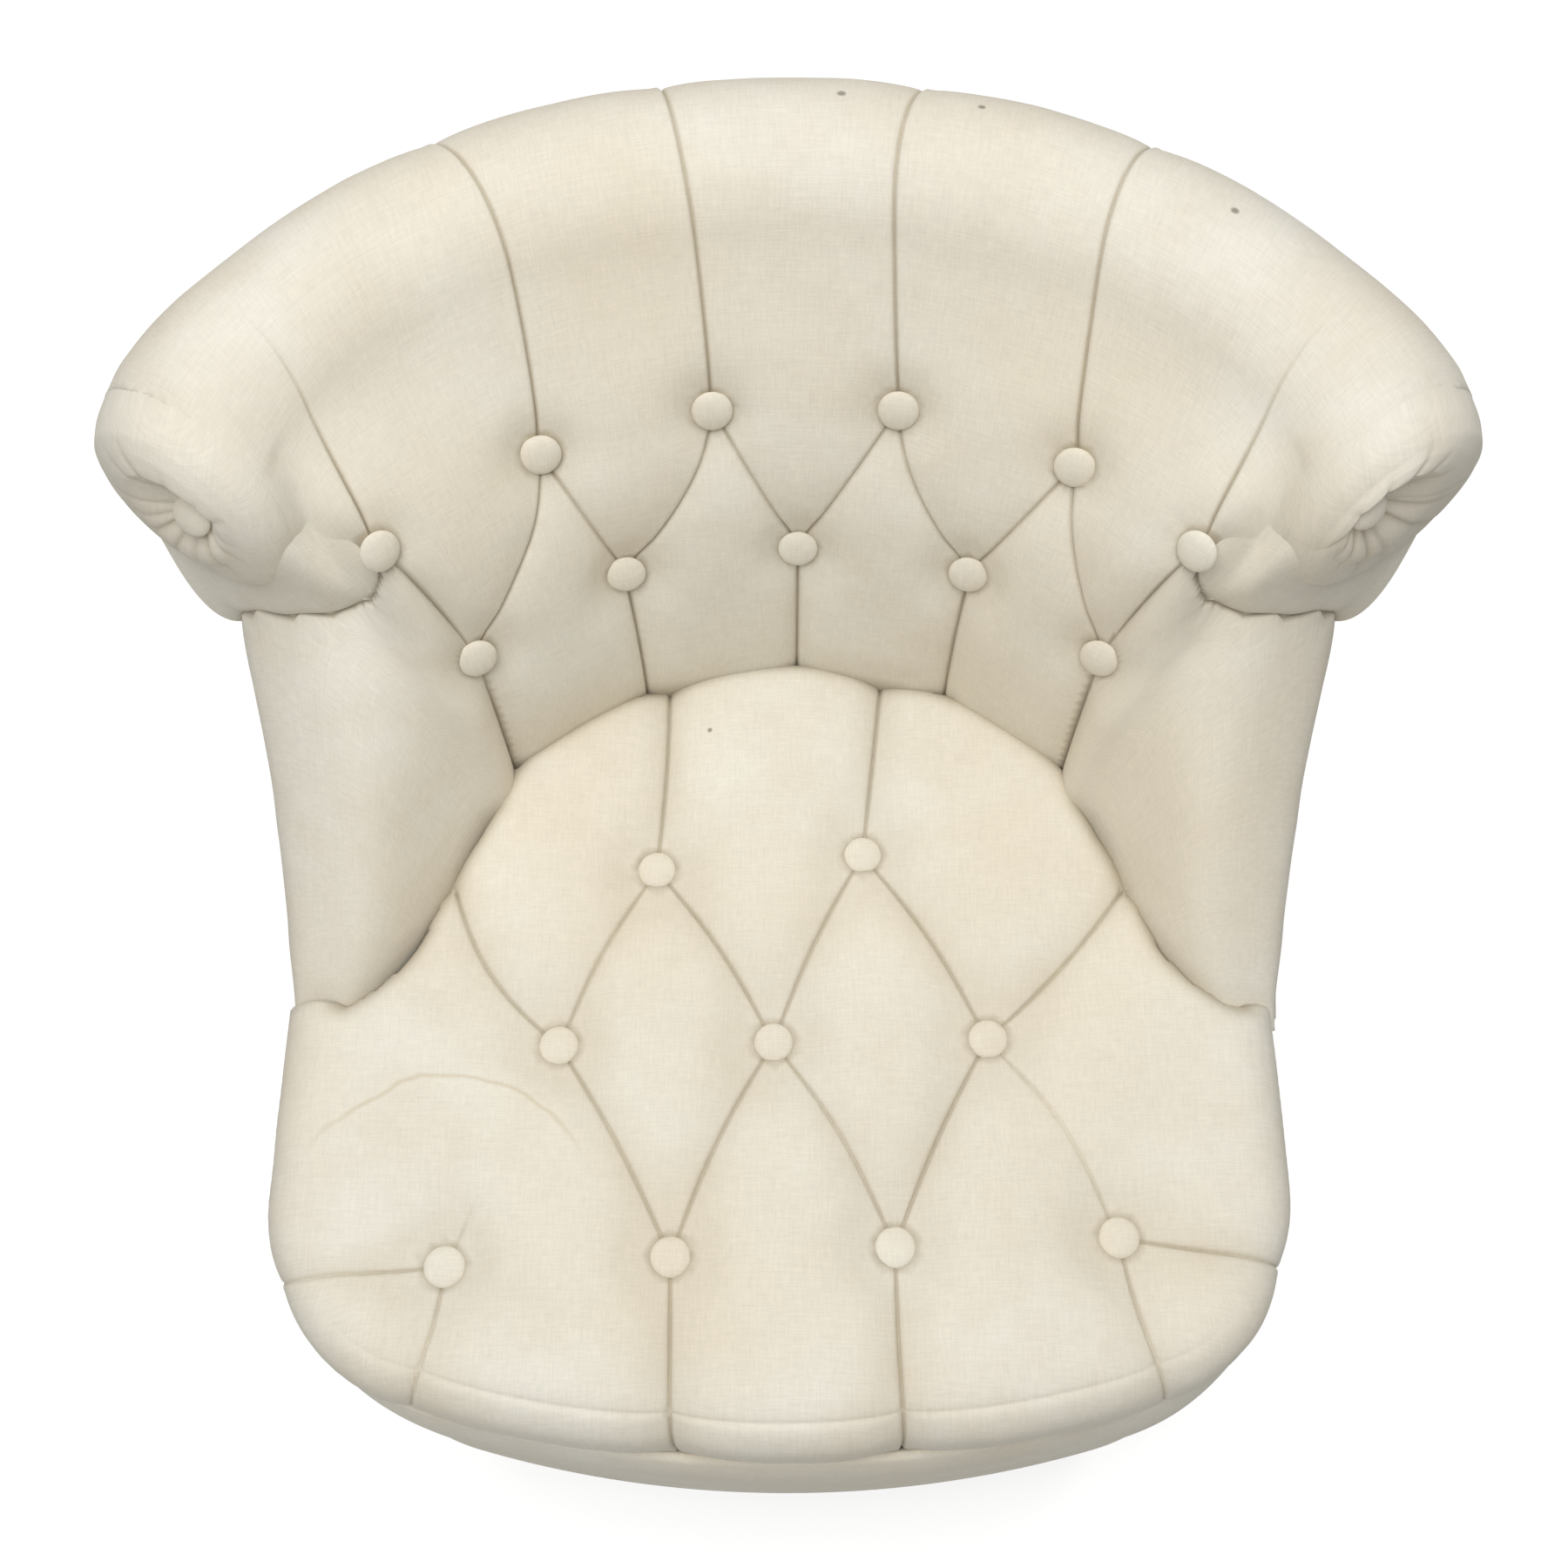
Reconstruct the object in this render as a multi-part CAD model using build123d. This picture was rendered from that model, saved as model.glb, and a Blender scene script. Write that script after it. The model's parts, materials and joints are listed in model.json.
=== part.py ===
from build123d import *
import os
from math import atan, atan2, cos, degrees, hypot, pi, radians, sin, sqrt

os.makedirs("parts", exist_ok=True)

# A small deep-buttoned tub chair with a rolled top edge.
# Millimetres. Origin on the floor under the middle of the footprint, +Z up, the sitter faces -Y.

# ---- whole chair ----
depth = 697.0                # front of the seat border to the back of the roll
roll_radius = 60.0           # the stuffed roll along the top edge
roll_centre_height = 675.0   # centre of the roll at the middle of the back
roll_end_height = 642.0      # centre of the roll at its two ends
roll_half_width = 323.0      # plan ellipse that the centre of the roll follows
roll_half_depth = 232.0
roll_back_turn = 8.7         # degrees from pleat to pleat round the back
roll_arm_turn = 14.0         # degrees from pleat to pleat round the arms
roll_valley = 7.0            # how far the pleats draw the roll in
roll_flat_share = 0.95       # flat underside of the roll, as a share of its radius below the centre
roll_tail = 14.0             # how far the underside reaches behind the centre
roll_front_turn = 147.0      # degrees round the roll where the face of the inside back touches it
roll_crest_turn = 40.0
roll_back_end = -20.0        # degrees round the roll where its underside begins

front_y = -depth / 2
back_y = depth / 2
roll_centre_y = back_y - roll_radius - roll_half_depth

# ---- sitting well ----
well_half_width = 205.0      # plan ellipse where the seat meets the inside back
well_half_depth = 173.0
well_clear = 162.0           # from the back of the well to the centre of the roll
well_turn = 13.6             # degrees from pleat to pleat along the junction
well_arm_turn = 4.75
soft_gap = 0.35              # between two soft pieces
well_centre_y = back_y - roll_radius - well_clear - well_half_depth

# ---- seat ----
seat_height = 443.0          # crown of the tufted seat
seat_crown = 8.0             # rise of the crown over its edge
seat_meet_share = 0.72       # where the inside back meets the seat, between the seam and the crown
seam_height = 385.0          # seam between the tufted top and the border
seat_half_width = 282.0
seat_edge_radius = 26.0
seat_rear_round = 8.0        # how far the seat's rear edge draws back from the inside back
seat_front_count = 4         # buttons in the front row, with one less in each row behind
seat_row_count = 3
border_bulge = 5.0           # how far the border swells past the seam
border_bulge_drop = 27.0     # from the seam down to the fullest part of the border
border_knee_share = 0.6      # where the border starts to draw in, between its foot and the bulge
border_knee_setback = 2.1
border_arm_gap = 1.0         # from the feet of the arms to the rear ends of the border
border_wall = 8.0
border_foot_setback = 14.0          # how far the border draws in at the bottom rail
seat_front_bow = 26.0        # how far the front edge bows forward
seat_front_half = 190.0      # half length of the bowed front edge

# ---- buttons ----
button_diameter = 23.0
button_rim = 3.0
button_dome = 4.5
button_depth = 18.0          # from the crown of a puff to the floor of a dimple
button_floor = 0.8           # flat floor round a button
dimple_mouth = 30.0          # radius of a dimple at the crown of the puff
seat_column = 123.0          # between two buttons of a seat row
seat_front_row = 108.0       # from the front seam back to the first row
seat_row = 119.0             # between two rows
pleat_depth = 11.0
pleat_width = 15.0
pleat_overrun = 1.1          # rows that an open pleat runs on past the last button
arm_pleat_share = 0.7        # rows that the outer pleats run back towards the arms

# ---- inside back ----
lower_row_height = 542.0
upper_row_height = 620.0
lower_row_lean = 0.115       # share of the way from the well to the roll's centre
upper_row_lean = 0.36
face_puff = 12.0             # how far a full panel stands in front of its pleats
pleat_puff = 0.8             # how far a pleat itself stands in front of the straight line
lower_button_tilt = 0.6      # how much the lower buttons share the slope above them
pad_thickness = 45.0
tuck_height = 345.0          # how far down the inside back is tucked behind the seat
hem_setback = 3.5            # how far the back of the tucked edge draws in

# ---- arms ----
arm_top_height = 572.0       # outer shoulder under the scroll
arm_foot_height = 430.0      # outer shoulder at the seat
arm_foot_half = 281.0        # half width over the feet of the arms
arm_overhang = 6.0           # how far the outer shoulder stands past the roll's centre under the scroll
arm_waist = 14.0             # how far the outer shoulder draws in between scroll and foot
arm_inner_height = 600.0     # inner shoulder under the scroll
arm_inner_foot = 437.0       # inner shoulder at the seat
arm_inner_reach = 50.0       # how far the inner shoulder stands back from the well under the scroll
arm_inner_foot_reach = 7.0
arm_soften = 42.0            # how far the inner shoulder is rounded
arm_soften_foot = 7.0
arm_crown = 12.0             # extra rise of the padding half way down the arm
arm_crown_end = 6.0          # rise of the padding under the scroll and at the foot
arm_side = 20.0              # height of the padding down the outside
arm_pad_thickness = 22.0
arm_meet_drop = 6.0          # how far the arm dips below the inside back where it meets the seat
arm_wall_puff = 1.0
arm_wall_share = 0.35        # thickest inside wall, as a share of the arm's reach
arm_shelf_share = 0.7        # where the underside of the top padding begins, towards the inner shoulder
arm_shelf_step = 1.0
arm_low_share = 0.6          # most of the wall and of the top that the rounded shoulder takes up
arm_high_share = 0.4
arm_turn_share = 0.5         # how near the rounded shoulder comes to its corner
arm_heel_front = 50.0        # from the middle of the well forward to the heel
arm_heel_offset = 39.0        # how far the heel turns out over that length
arm_steps = 9
arm_rail_height = 26.0
arm_rail_width = 30.0
arm_rail_room = 0.8          # between the arm rail and the padding over it

# ---- frame ----
leg_height = 217.0
rail_height = 72.0
rail_thickness = 26.0
base_half_depth = 223.0      # outside covers at the bottom rail
base_centre_y = 60.0         # from the middle of the well
cover_mid_share = 0.48       # how far the outside has leaned out half way up
cover_mid_height = 0.53
cover_gap = 1.5
top_rail_width = 44.0
top_rail_height = 30.0
top_rail_setback = 4.0       # from the centre of the roll in to the back of the rail
post_width = 38.0
post_thickness = 21.0
post_room = 5.0              # for the flat faces of the posts against the curved rails
stump_width = 34.0
stump_thickness = 16.0
arm_stump_share = 0.72       # where along the arm the stump stands
stump_room = 20.0            # between the stump and the sloping arm rail
tacking_rail_height = 22.0
rail_joint_back = 90.0       # from the middle of the base back to the joint of side and back rails
rail_room = 1.0              # for the flat faces of straight pieces against the curved padding and covers
block_height = 45.0
front_block_leg = 170.0      # sides of the triangle that a corner block is cut from
back_block_leg = 180.0
wood_gap = 0.3               # glue line and running gap between wooden pieces that do not share a face

# ---- hidden upholstery ----
strap_width = 50.0
strap_thickness = 1.5
long_strap_spread = 140.0    # between the front-to-back straps
front_strap_count = 3        # cross straps in front of the arm stumps
front_strap_setback = 98.5   # from the front of the border to the first of them
front_strap_row = 70.0
cross_strap_gap = 6.0        # beside the stumps and between the two straps behind them
back_strap_setback = 81.5    # from the back of the base to the last cross strap
back_strap_half = 0.18       # half width of an upright strap, in columns
back_strap_lift = 8.0        # lower end of the upright straps above the tacking rail
back_strap_lap = 0.6         # how far their upper ends lap over the top rail, as a share of its height
layer_gap = 0.3
hessian_thickness = 1.2
foam_side_gap = 12.0         # from the seam line in to the side of the foam
dust_cover_thickness = 1.2
dust_cover_room = 1.0        # round the heads of the legs
cover_lift = 0.5             # lower edge of the covers above the legs

# ---- legs and fasteners ----
front_leg_x = 212.0
front_leg_y = 75.0           # behind the front of the border
back_leg_x = 168.0
back_leg_y = 78.0            # in front of the back of the base
leg_top_radius = 23.0
leg_foot_radius = 12.5
leg_ring_radius = 25.5
leg_head_height = 37.0       # plain head over the ring
leg_ring_height = 10.0
leg_shoulder_height = 4.0    # from the ring up to the head and from the neck down to the taper
leg_neck_setback = 5.0
leg_waist_setback = 3.0
leg_swell_share = 0.62       # how full the taper is half way up
back_leg_top = 44.0
back_leg_knee_height = 0.45  # shares of the height, of the foot's offset and of the taper at the knee
back_leg_knee_offset = 0.42
back_leg_knee_taper = 0.4
back_leg_foot = 28.0
back_leg_foot_offset = 38.0
glide_radius = 9.0
glide_height = 4.0
bolt_radius = 4.0
bolt_clear = 0.25
bolt_in_leg = 40.0
bolt_in_rail = 38.0
screw_radius = 2.2
screw_length = 38.0
screw_bite = 18.0            # length of a block screw inside the rail
front_screw_x = 185.0
front_screw_y = -180.0
back_screw_x = 110.0
back_screw_y = 60.0
screw_head_radius = 4.5
screw_head_height = 2.5
screw_clear = 0.2

# ---- scroll ends ----
scroll_dome = 20.0
scroll_edge = 16.0
scroll_clear = 1.5
scroll_hollow_share = 0.55   # floor of the button's dimple, as a share of the dome

back_post_column = 1.5
arm_post_column = 5.2

# ---- pleat columns: even columns hold lower buttons, odd ones upper buttons ----
last_column = 6
back_columns = 3
well_columns = 4
columns_per_step = 2         # lofting stations to a column

rail_bottom = leg_height
rail_top = rail_bottom + rail_height
rail_drop = roll_radius * roll_flat_share
seat_meet = seam_height + (seat_height - seam_height) * seat_meet_share
border_bulge_height = seam_height - border_bulge_drop
base_half_width = seat_half_width - border_foot_setback
base_middle_y = well_centre_y + base_centre_y
base_back_y = base_middle_y + base_half_depth
arm_front_y = well_centre_y - arm_heel_front


def save(node, shape):
    """Write one named sub-part."""
    export_step(shape, os.path.join("parts", node + ".step"))


def lerp(a, b, share):
    return a + (b - a) * share


def between(a, b, share):
    return lerp(a[0], b[0], share), lerp(a[1], b[1], share)


# ------------------------------------------------------------------ plan curves
def roll_centre(column):
    """Plan point of the roll's centre at a pleat column."""
    side = 1 if column >= 0 else -1
    steps = abs(column)
    turn = roll_back_turn * min(steps, back_columns) + roll_arm_turn * max(steps - back_columns, 0)
    angle = radians(turn) * side
    reach = hypot(roll_half_width * sin(angle), roll_half_depth * cos(angle))
    x = roll_half_width ** 2 * sin(angle) / reach
    y = roll_centre_y + roll_half_depth ** 2 * cos(angle) / reach
    full = radians(roll_back_turn * back_columns + roll_arm_turn * (last_column - back_columns))
    drop = (1 - cos(angle)) / (1 - cos(full))
    return x, y, lerp(roll_centre_height, roll_end_height, drop)


def well_point(column):
    """Plan point where the column's plane meets the seat."""
    side = 1 if column >= 0 else -1
    steps = abs(column)
    turn = well_turn * min(steps, well_columns) + well_arm_turn * max(steps - well_columns, 0)
    angle = radians(turn) * side
    return well_half_width * sin(angle), well_centre_y + well_half_depth * cos(angle)


def base_distance(x, y, dx, dy):
    """Distance from a plan point to the outside of the base, along a direction."""
    a = (dx / base_half_width) ** 2 + (dy / base_half_depth) ** 2
    b = 2 * (x * dx / base_half_width ** 2 + (y - base_middle_y) * dy / base_half_depth ** 2)
    c = (x / base_half_width) ** 2 + ((y - base_middle_y) / base_half_depth) ** 2 - 1
    round_hit = (-b + sqrt(b * b - 4 * a * c)) / (2 * a)
    if y + round_hit * dy >= base_middle_y:
        return round_hit
    return (base_half_width - abs(x)) / abs(dx)


class Station:
    """One upright cutting plane: where it stands and how the roll or arm crest lies in it."""

    def __init__(self, foot, crest, height, radius):
        self.foot = foot
        dx, dy = crest[0] - foot[0], crest[1] - foot[1]
        self.reach = hypot(dx, dy)
        self.dx, self.dy = dx / self.reach, dy / self.reach
        self.height = height
        self.radius = radius
        self.base = base_distance(foot[0], foot[1], self.dx, self.dy)

    def at(self, distance, height):
        return Vector(self.foot[0] + self.dx * distance, self.foot[1] + self.dy * distance, height)

    def on_crest(self, radius, angle):
        turn = radians(angle)
        return self.at(self.reach + radius * cos(turn), self.height + radius * sin(turn))


def back_station(column):
    x, y, height = roll_centre(column)
    return Station(well_point(column), (x, y), height, roll_radius)


def wave(column, crown_is_even):
    """1 on a crown column and 0 on a pleat column, rounded between them."""
    phase = abs(column) % 2
    towards_odd = phase if phase <= 1 else 2 - phase
    share = 1 - towards_odd if crown_is_even else towards_odd
    return sqrt(sin(share * pi / 2))


# ------------------------------------------------------------------ inside back
def tuft_vertex(station, column):
    """The zigzag of pleats between the two button rows."""
    phase = abs(column) % 2
    rise = phase if phase <= 1 else 2 - phase
    height = lerp(lower_row_height, upper_row_height, rise)
    lean = lerp(lower_row_lean, upper_row_lean, rise)
    return station.reach * lean, height


def bulged(station, a, b, bulge):
    """An arc from a to b that stands a little in front of the straight line."""
    run = hypot(b[0] - a[0], b[1] - a[1])
    nx, nz = -(b[1] - a[1]) / run, (b[0] - a[0]) / run
    mid = ((a[0] + b[0]) / 2 + nx * bulge, (a[1] + b[1]) / 2 + nz * bulge)
    return ThreePointArc(station.at(*a), station.at(*mid), station.at(*b))


def back_section(column):
    """Closed outline of the inside back and its roll in one column's plane."""
    station = back_station(column)
    low_full = wave(column, crown_is_even=False)
    high_full = wave(column, crown_is_even=True)
    if abs(column) > well_columns:
        low_full = 1
    radius = roll_radius - roll_valley * (1 - high_full)
    vertex = tuft_vertex(station, column)
    foot = (soft_gap, tuck_height)
    meet = (soft_gap, seat_meet)
    touch_turn = radians(roll_front_turn)
    touch = (station.reach + radius * cos(touch_turn), station.height + radius * sin(touch_turn))
    tail = (station.reach + roll_tail, station.height - rail_drop)
    shelf = (station.reach - top_rail_width, station.height - rail_drop)
    behind = (pad_thickness, seat_meet)
    hem = (pad_thickness - hem_setback, tuck_height)
    edges = [
        Line(station.at(*foot), station.at(*meet)),
        bulged(station, meet, vertex, lerp(pleat_puff, face_puff, low_full)),
        bulged(station, vertex, touch, lerp(pleat_puff, face_puff, high_full)),
        ThreePointArc(station.at(*touch), station.on_crest(radius, (roll_front_turn + roll_crest_turn) / 2),
                      station.on_crest(radius, roll_crest_turn)),
        ThreePointArc(station.on_crest(radius, roll_crest_turn), station.on_crest(radius, roll_back_end),
                      station.at(*tail)),
        Line(station.at(*tail), station.at(*shelf)),
        Line(station.at(*shelf), station.at(*behind)),
        Line(station.at(*behind), station.at(*hem)),
        Line(station.at(*hem), station.at(*foot)),
    ]
    return Wire(edges)


def lofted(wires, ruled=False):
    return Solid.make_loft(wires, ruled)


def columns():
    steps = last_column * columns_per_step
    return [step / columns_per_step for step in range(-steps, steps + 1)]


def face_frame(column):
    """Where a button of the inside back sits and which way it faces."""
    station = back_station(column)
    distance, height = tuft_vertex(station, column)
    lower = lower_row_lean * station.reach / (lower_row_height - seat_meet)
    upper = (upper_row_lean - lower_row_lean) * station.reach / (upper_row_height - lower_row_height)
    slope = lerp(lower, upper, lower_button_tilt) if abs(column) % 2 == 0 else upper
    out = Vector(-station.dx, -station.dy, slope).normalized()
    return station.at(distance, height), out


def dimple(point, out):
    """The funnel that a button pulls into the padding."""
    plane = Plane(origin=point, z_dir=out)
    floor = button_diameter / 2 + button_floor
    return plane * Pos(0, 0, button_depth / 2) * Cone(floor, dimple_mouth, button_depth)


def button(point, out):
    """A covered button: a shallow rim with a domed face."""
    radius = button_diameter / 2
    height = button_rim + button_dome
    ball = (radius ** 2 + button_dome ** 2) / (2 * button_dome)
    piece = Pos(0, 0, height / 2) * Cylinder(radius, height) & Pos(0, 0, height - ball) * Sphere(ball)
    plane = Plane(origin=point + out * soft_gap, z_dir=out)
    return plane * piece


back_button_columns = range(-last_column + 1, last_column)


def make_inside_back():
    pad = lofted([back_section(column) for column in columns()])
    for column in back_button_columns:
        point, out = face_frame(column)
        pad = pad - dimple(point, out)
    return pad


# ------------------------------------------------------------------ arms
def heel_x(y):
    """Plan x of the line where an arm meets the seat, at a plan y."""
    along = y - well_centre_y
    if along >= 0:
        return well_half_width * sqrt(1 - (along / well_half_depth) ** 2)
    return well_half_width + arm_heel_offset * (along / arm_heel_front) ** 2


def arm_station(side, share):
    """A plane across an arm, from the end of the inside back (0) to the foot (1)."""
    end = back_station(last_column * side)
    heel_y = lerp(end.foot[1], arm_front_y, share)
    heel = (heel_x(heel_y) * side, heel_y) if share > 0 else end.foot
    reach = end.reach + arm_overhang
    start = (end.foot[0] + end.dx * reach, end.foot[1] + end.dy * reach)
    way = (share + sin(share * pi / 2)) / 2
    x = lerp(start[0], arm_foot_half * side, way) - side * arm_waist * sin(way * pi)
    y = lerp(start[1], arm_front_y, way)
    station = Station(heel, (x, y), lerp(arm_top_height, arm_foot_height, way), 0)
    station.way = way
    return station


def arm_stations(side):
    return [arm_station(side, step / arm_steps) for step in range(arm_steps + 1)]


def arm_wall(station):
    """Thickness of the inside wall of an arm's padding at the seat."""
    return min(arm_pad_thickness, station.reach * arm_wall_share)


def arm_shelf(station):
    """Where the underside of an arm's top padding begins, behind the inside wall."""
    inner = lerp(arm_inner_reach, arm_inner_foot_reach, station.way)
    return arm_wall(station) + max(inner * arm_shelf_share, arm_shelf_step)


def arm_section(station):
    """Closed outline of an arm's padding: an inside wall that turns over a soft crowned top."""
    way = station.way
    foot = (soft_gap, tuck_height)
    meet = (soft_gap, seat_meet - arm_meet_drop)
    inner = (lerp(arm_inner_reach, arm_inner_foot_reach, way), lerp(arm_inner_height, arm_inner_foot, way))
    outer = (station.reach, station.height)
    soften = lerp(arm_soften, arm_soften_foot, way)
    rise = hypot(inner[0] - meet[0], inner[1] - meet[1])
    span = hypot(outer[0] - inner[0], outer[1] - inner[1])
    low = between(inner, meet, min(arm_low_share, soften / rise))
    high = between(inner, outer, min(arm_high_share, soften / span))
    turn = between(between(low, high, 0.5), inner, arm_turn_share)
    side = (station.reach, station.height - arm_side)
    shelf = (arm_shelf(station), side[1])
    behind = (arm_wall(station), min(meet[1], side[1]) - arm_meet_drop)
    hem = (arm_wall(station) - arm_shelf_step, tuck_height)
    edges = [
        Line(station.at(*foot), station.at(*meet)),
        bulged(station, meet, low, face_puff * (1 - way) + arm_wall_puff),
        ThreePointArc(station.at(*low), station.at(*turn), station.at(*high)),
        bulged(station, high, outer, arm_crown_end + arm_crown * sin(way * pi) ** 2),
        Line(station.at(*outer), station.at(*side)),
        Line(station.at(*side), station.at(*shelf)),
        Line(station.at(*shelf), station.at(*behind)),
        Line(station.at(*behind), station.at(*hem)),
        Line(station.at(*hem), station.at(*foot)),
    ]
    return Wire(edges)


def make_arm_pad(side):
    return lofted([arm_section(station) for station in arm_stations(side)])


# ------------------------------------------------------------------ seat
front_slope = 2 * atan(seat_front_bow / seat_front_half)


def corner_radius(grow):
    """Radius of the rounded front corner, tangent to the bowed front and to the side."""
    return (seat_half_width + grow - seat_front_half) / (1 - sin(front_slope))


def corner_end(grow):
    """Plan y where the rounded corner runs into the straight side."""
    return front_y + border_bulge - grow + seat_front_bow + corner_radius(grow) * cos(front_slope)


def seat_outline(grow, height, rear):
    """D-shaped plan outline of the seat front, grown or shrunk, closed by a straight rear line."""
    front = front_y + border_bulge - grow
    edge = front + seat_front_bow
    side = seat_half_width + grow
    turn_y = corner_end(grow)
    middle = (front_slope + pi / 2) / 2
    corner_x = seat_front_half + corner_radius(grow) * (sin(middle) - sin(front_slope))
    corner_y = edge + corner_radius(grow) * (cos(front_slope) - cos(middle))
    edges = [
        ThreePointArc((-seat_front_half, edge, height), (0, front, height), (seat_front_half, edge, height)),
        ThreePointArc((seat_front_half, edge, height), (corner_x, corner_y, height), (side, turn_y, height)),
        Line((side, turn_y, height), (side, rear, height)),
        Line((side, rear, height), (-side, rear, height)),
        Line((-side, rear, height), (-side, turn_y, height)),
        ThreePointArc((-side, turn_y, height), (-corner_x, corner_y, height),
                      (-seat_front_half, edge, height)),
    ]
    return Wire(edges)


def well_cutter(stations, bottom, top, room):
    """Everything outside the sitting well, along a run of stations."""
    wires = []
    for station in stations:
        far = station.reach + roll_radius
        corners = [station.at(-room, bottom), station.at(far, bottom),
                   station.at(far, top), station.at(-room, top)]
        wires.append(Wire.make_polygon(corners, close=True))
    return lofted(wires)


def trimmed_to_well(shape, bottom, top, room):
    shape = shape - well_cutter([back_station(column) for column in columns()], bottom, top, room)
    for side in (-1, 1):
        shape = shape - well_cutter(arm_stations(side), bottom, top, room)
    return shape


def seat_slab(grow, bottom, top):
    """A slab with the seat's plan: the D of the front and the round of the well."""
    slab = extrude(make_face(seat_outline(grow, bottom, well_centre_y)), top - bottom)
    spare = seat_edge_radius
    round_back = Ellipse(well_half_width + spare, well_half_depth + spare)
    slab = slab + extrude(Pos(0, well_centre_y, bottom) * round_back, top - bottom)
    slab = trimmed_to_well(slab, bottom - spare, top + spare, soft_gap)
    return max(slab.solids(), key=lambda solid: solid.volume)


def seat_button_rows():
    rows = []
    front_row = front_y + border_bulge + seat_front_row
    for row in range(seat_row_count):
        count = seat_front_count - row
        first = -(count - 1) / 2 * seat_column
        rows.append([(first + place * seat_column, front_row + row * seat_row) for place in range(count)])
    return rows


def seat_button_points():
    return [point for row in seat_button_rows() for point in row]


def seat_floor():
    """Height of the dimple floors of the seat."""
    return seat_height - button_depth


def groove(a, b):
    """A V-shaped pleat pressed into the seat between two plan points."""
    length = hypot(b[0] - a[0], b[1] - a[1])
    angle = degrees(atan2(b[1] - a[1], b[0] - a[0]))
    bottom = seat_height - pleat_depth
    top = 2 * pleat_depth
    profile = Polyline((-pleat_width, top), (0, 0), (pleat_width, top), (-pleat_width, top))
    blade = extrude(Plane.YZ * make_face(profile), length)
    return Pos(a[0], a[1], bottom) * Rot(0, 0, angle) * blade


def seat_pleats():
    """Pairs of plan points that a pleat joins."""
    rows = seat_button_rows()
    reach = seat_row * pleat_overrun
    pairs = []
    for row, behind in zip(rows, rows[1:]):
        for place, point in enumerate(behind):
            pairs.append((row[place], point))
            pairs.append((point, row[place + 1]))
    for x, y in rows[-1]:
        pairs.append(((x, y), (x, y + reach)))
    for x, y in rows[0]:
        pairs.append(((x, y - reach), (x, y)))
    for side, end in ((-1, 0), (1, -1)):
        x, y = rows[1][end]
        pairs.append(((x, y), (x + side * seat_column / 2, y + seat_row * arm_pleat_share)))
        x, y = rows[0][end]
        pairs.append(((x, y), (x + side * seat_column, y)))
    return pairs


def make_seat_pad():
    slab = seat_slab(0, seam_height + layer_gap, seat_height + seat_crown)
    half = seat_half_width
    crown_radius = (half ** 2 + seat_crown ** 2) / (2 * seat_crown)
    middle = (front_y + well_centre_y) / 2
    slab = slab & Pos(0, middle, seat_height - crown_radius) * Sphere(crown_radius)
    top = slab.faces().sort_by(Axis.Z)[-1]
    front_rim = [edge for edge in top.edges() if edge.center().Y < arm_front_y - seat_rear_round]
    slab = fillet(front_rim, seat_edge_radius)
    slab = trimmed_to_well(slab, seat_meet - arm_meet_drop - soft_gap, 2 * seat_height, seat_rear_round)
    for a, b in seat_pleats():
        slab = slab - groove(a, b)
    for x, y in seat_button_points():
        slab = slab - dimple(Vector(x, y, seat_floor()), Vector(0, 0, 1))
    return slab


def make_seat_border():
    arm_front = arm_front_y - border_arm_gap
    levels = [(leg_height + cover_lift, -border_foot_setback),
              (lerp(leg_height, border_bulge_height, border_knee_share), -border_knee_setback),
              (border_bulge_height, border_bulge),
              (seam_height, 0)]
    outer = lofted([seat_outline(grow, height, arm_front) for height, grow in levels])
    inner = lofted([seat_outline(grow - border_wall, height, arm_front + border_wall)
                    for height, grow in levels])
    return outer - inner


# ------------------------------------------------------------------ frame
def base_face(inset):
    """Plan of the base: the D of the seat front and the half ellipse of the back."""
    grow = -border_foot_setback - inset
    front = make_face(seat_outline(grow, 0, base_middle_y))
    back = Pos(0, base_middle_y) * Ellipse(base_half_width - inset, base_half_depth - inset)
    return front + back


rail_inset = border_wall + cover_gap
ring_inset = rail_inset + rail_thickness


def bolt_points():
    points = []
    for side in (-1, 1):
        points.append((front_leg_x * side, front_y + front_leg_y))
        points.append((back_leg_x * side, base_back_y - back_leg_y))
    return points


def upright(x, y, bottom, top, radius):
    return Pos(x, y, (bottom + top) / 2) * Cylinder(radius, top - bottom)


def bolt_holes():
    holes = []
    for x, y in bolt_points():
        holes.append(upright(x, y, leg_height - bolt_in_leg - bolt_clear,
                             leg_height + bolt_in_rail + bolt_clear, bolt_radius + bolt_clear))
    return holes


def ring_x(y):
    """Inside of the rail ring at the side, at plan y behind the base centre."""
    half = base_half_width - ring_inset
    if y <= base_middle_y:
        return half
    return half * sqrt(1 - ((y - base_middle_y) / (base_half_depth - ring_inset)) ** 2)


def ring_back_y(x):
    half = base_half_depth - ring_inset
    return base_middle_y + half * sqrt(1 - (x / (base_half_width - ring_inset)) ** 2)


def screw_seats():
    """Head point and direction of each corner block screw."""
    start = screw_length - screw_bite
    ring_front = front_y + border_bulge + border_foot_setback + ring_inset + seat_front_bow * (
        front_screw_x / seat_front_half) ** 2
    seats = []
    for side in (-1, 1):
        seats.append(((front_screw_x * side, ring_front + start), (0, -1)))
        seats.append(((side * (ring_x(front_screw_y) - start), front_screw_y), (side, 0)))
        seats.append(((back_screw_x * side, ring_back_y(back_screw_x) - start), (0, 1)))
        seats.append(((side * (ring_x(back_screw_y) - start), back_screw_y), (side, 0)))
    return seats


def along(point, direction, start, end, radius):
    """A level round bar from start to end along a plan direction."""
    height = rail_bottom + block_height / 2
    plane = Plane(origin=(point[0], point[1], height), z_dir=(direction[0], direction[1], 0))
    return plane * Pos(0, 0, (start + end) / 2) * Cylinder(radius, end - start)


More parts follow.
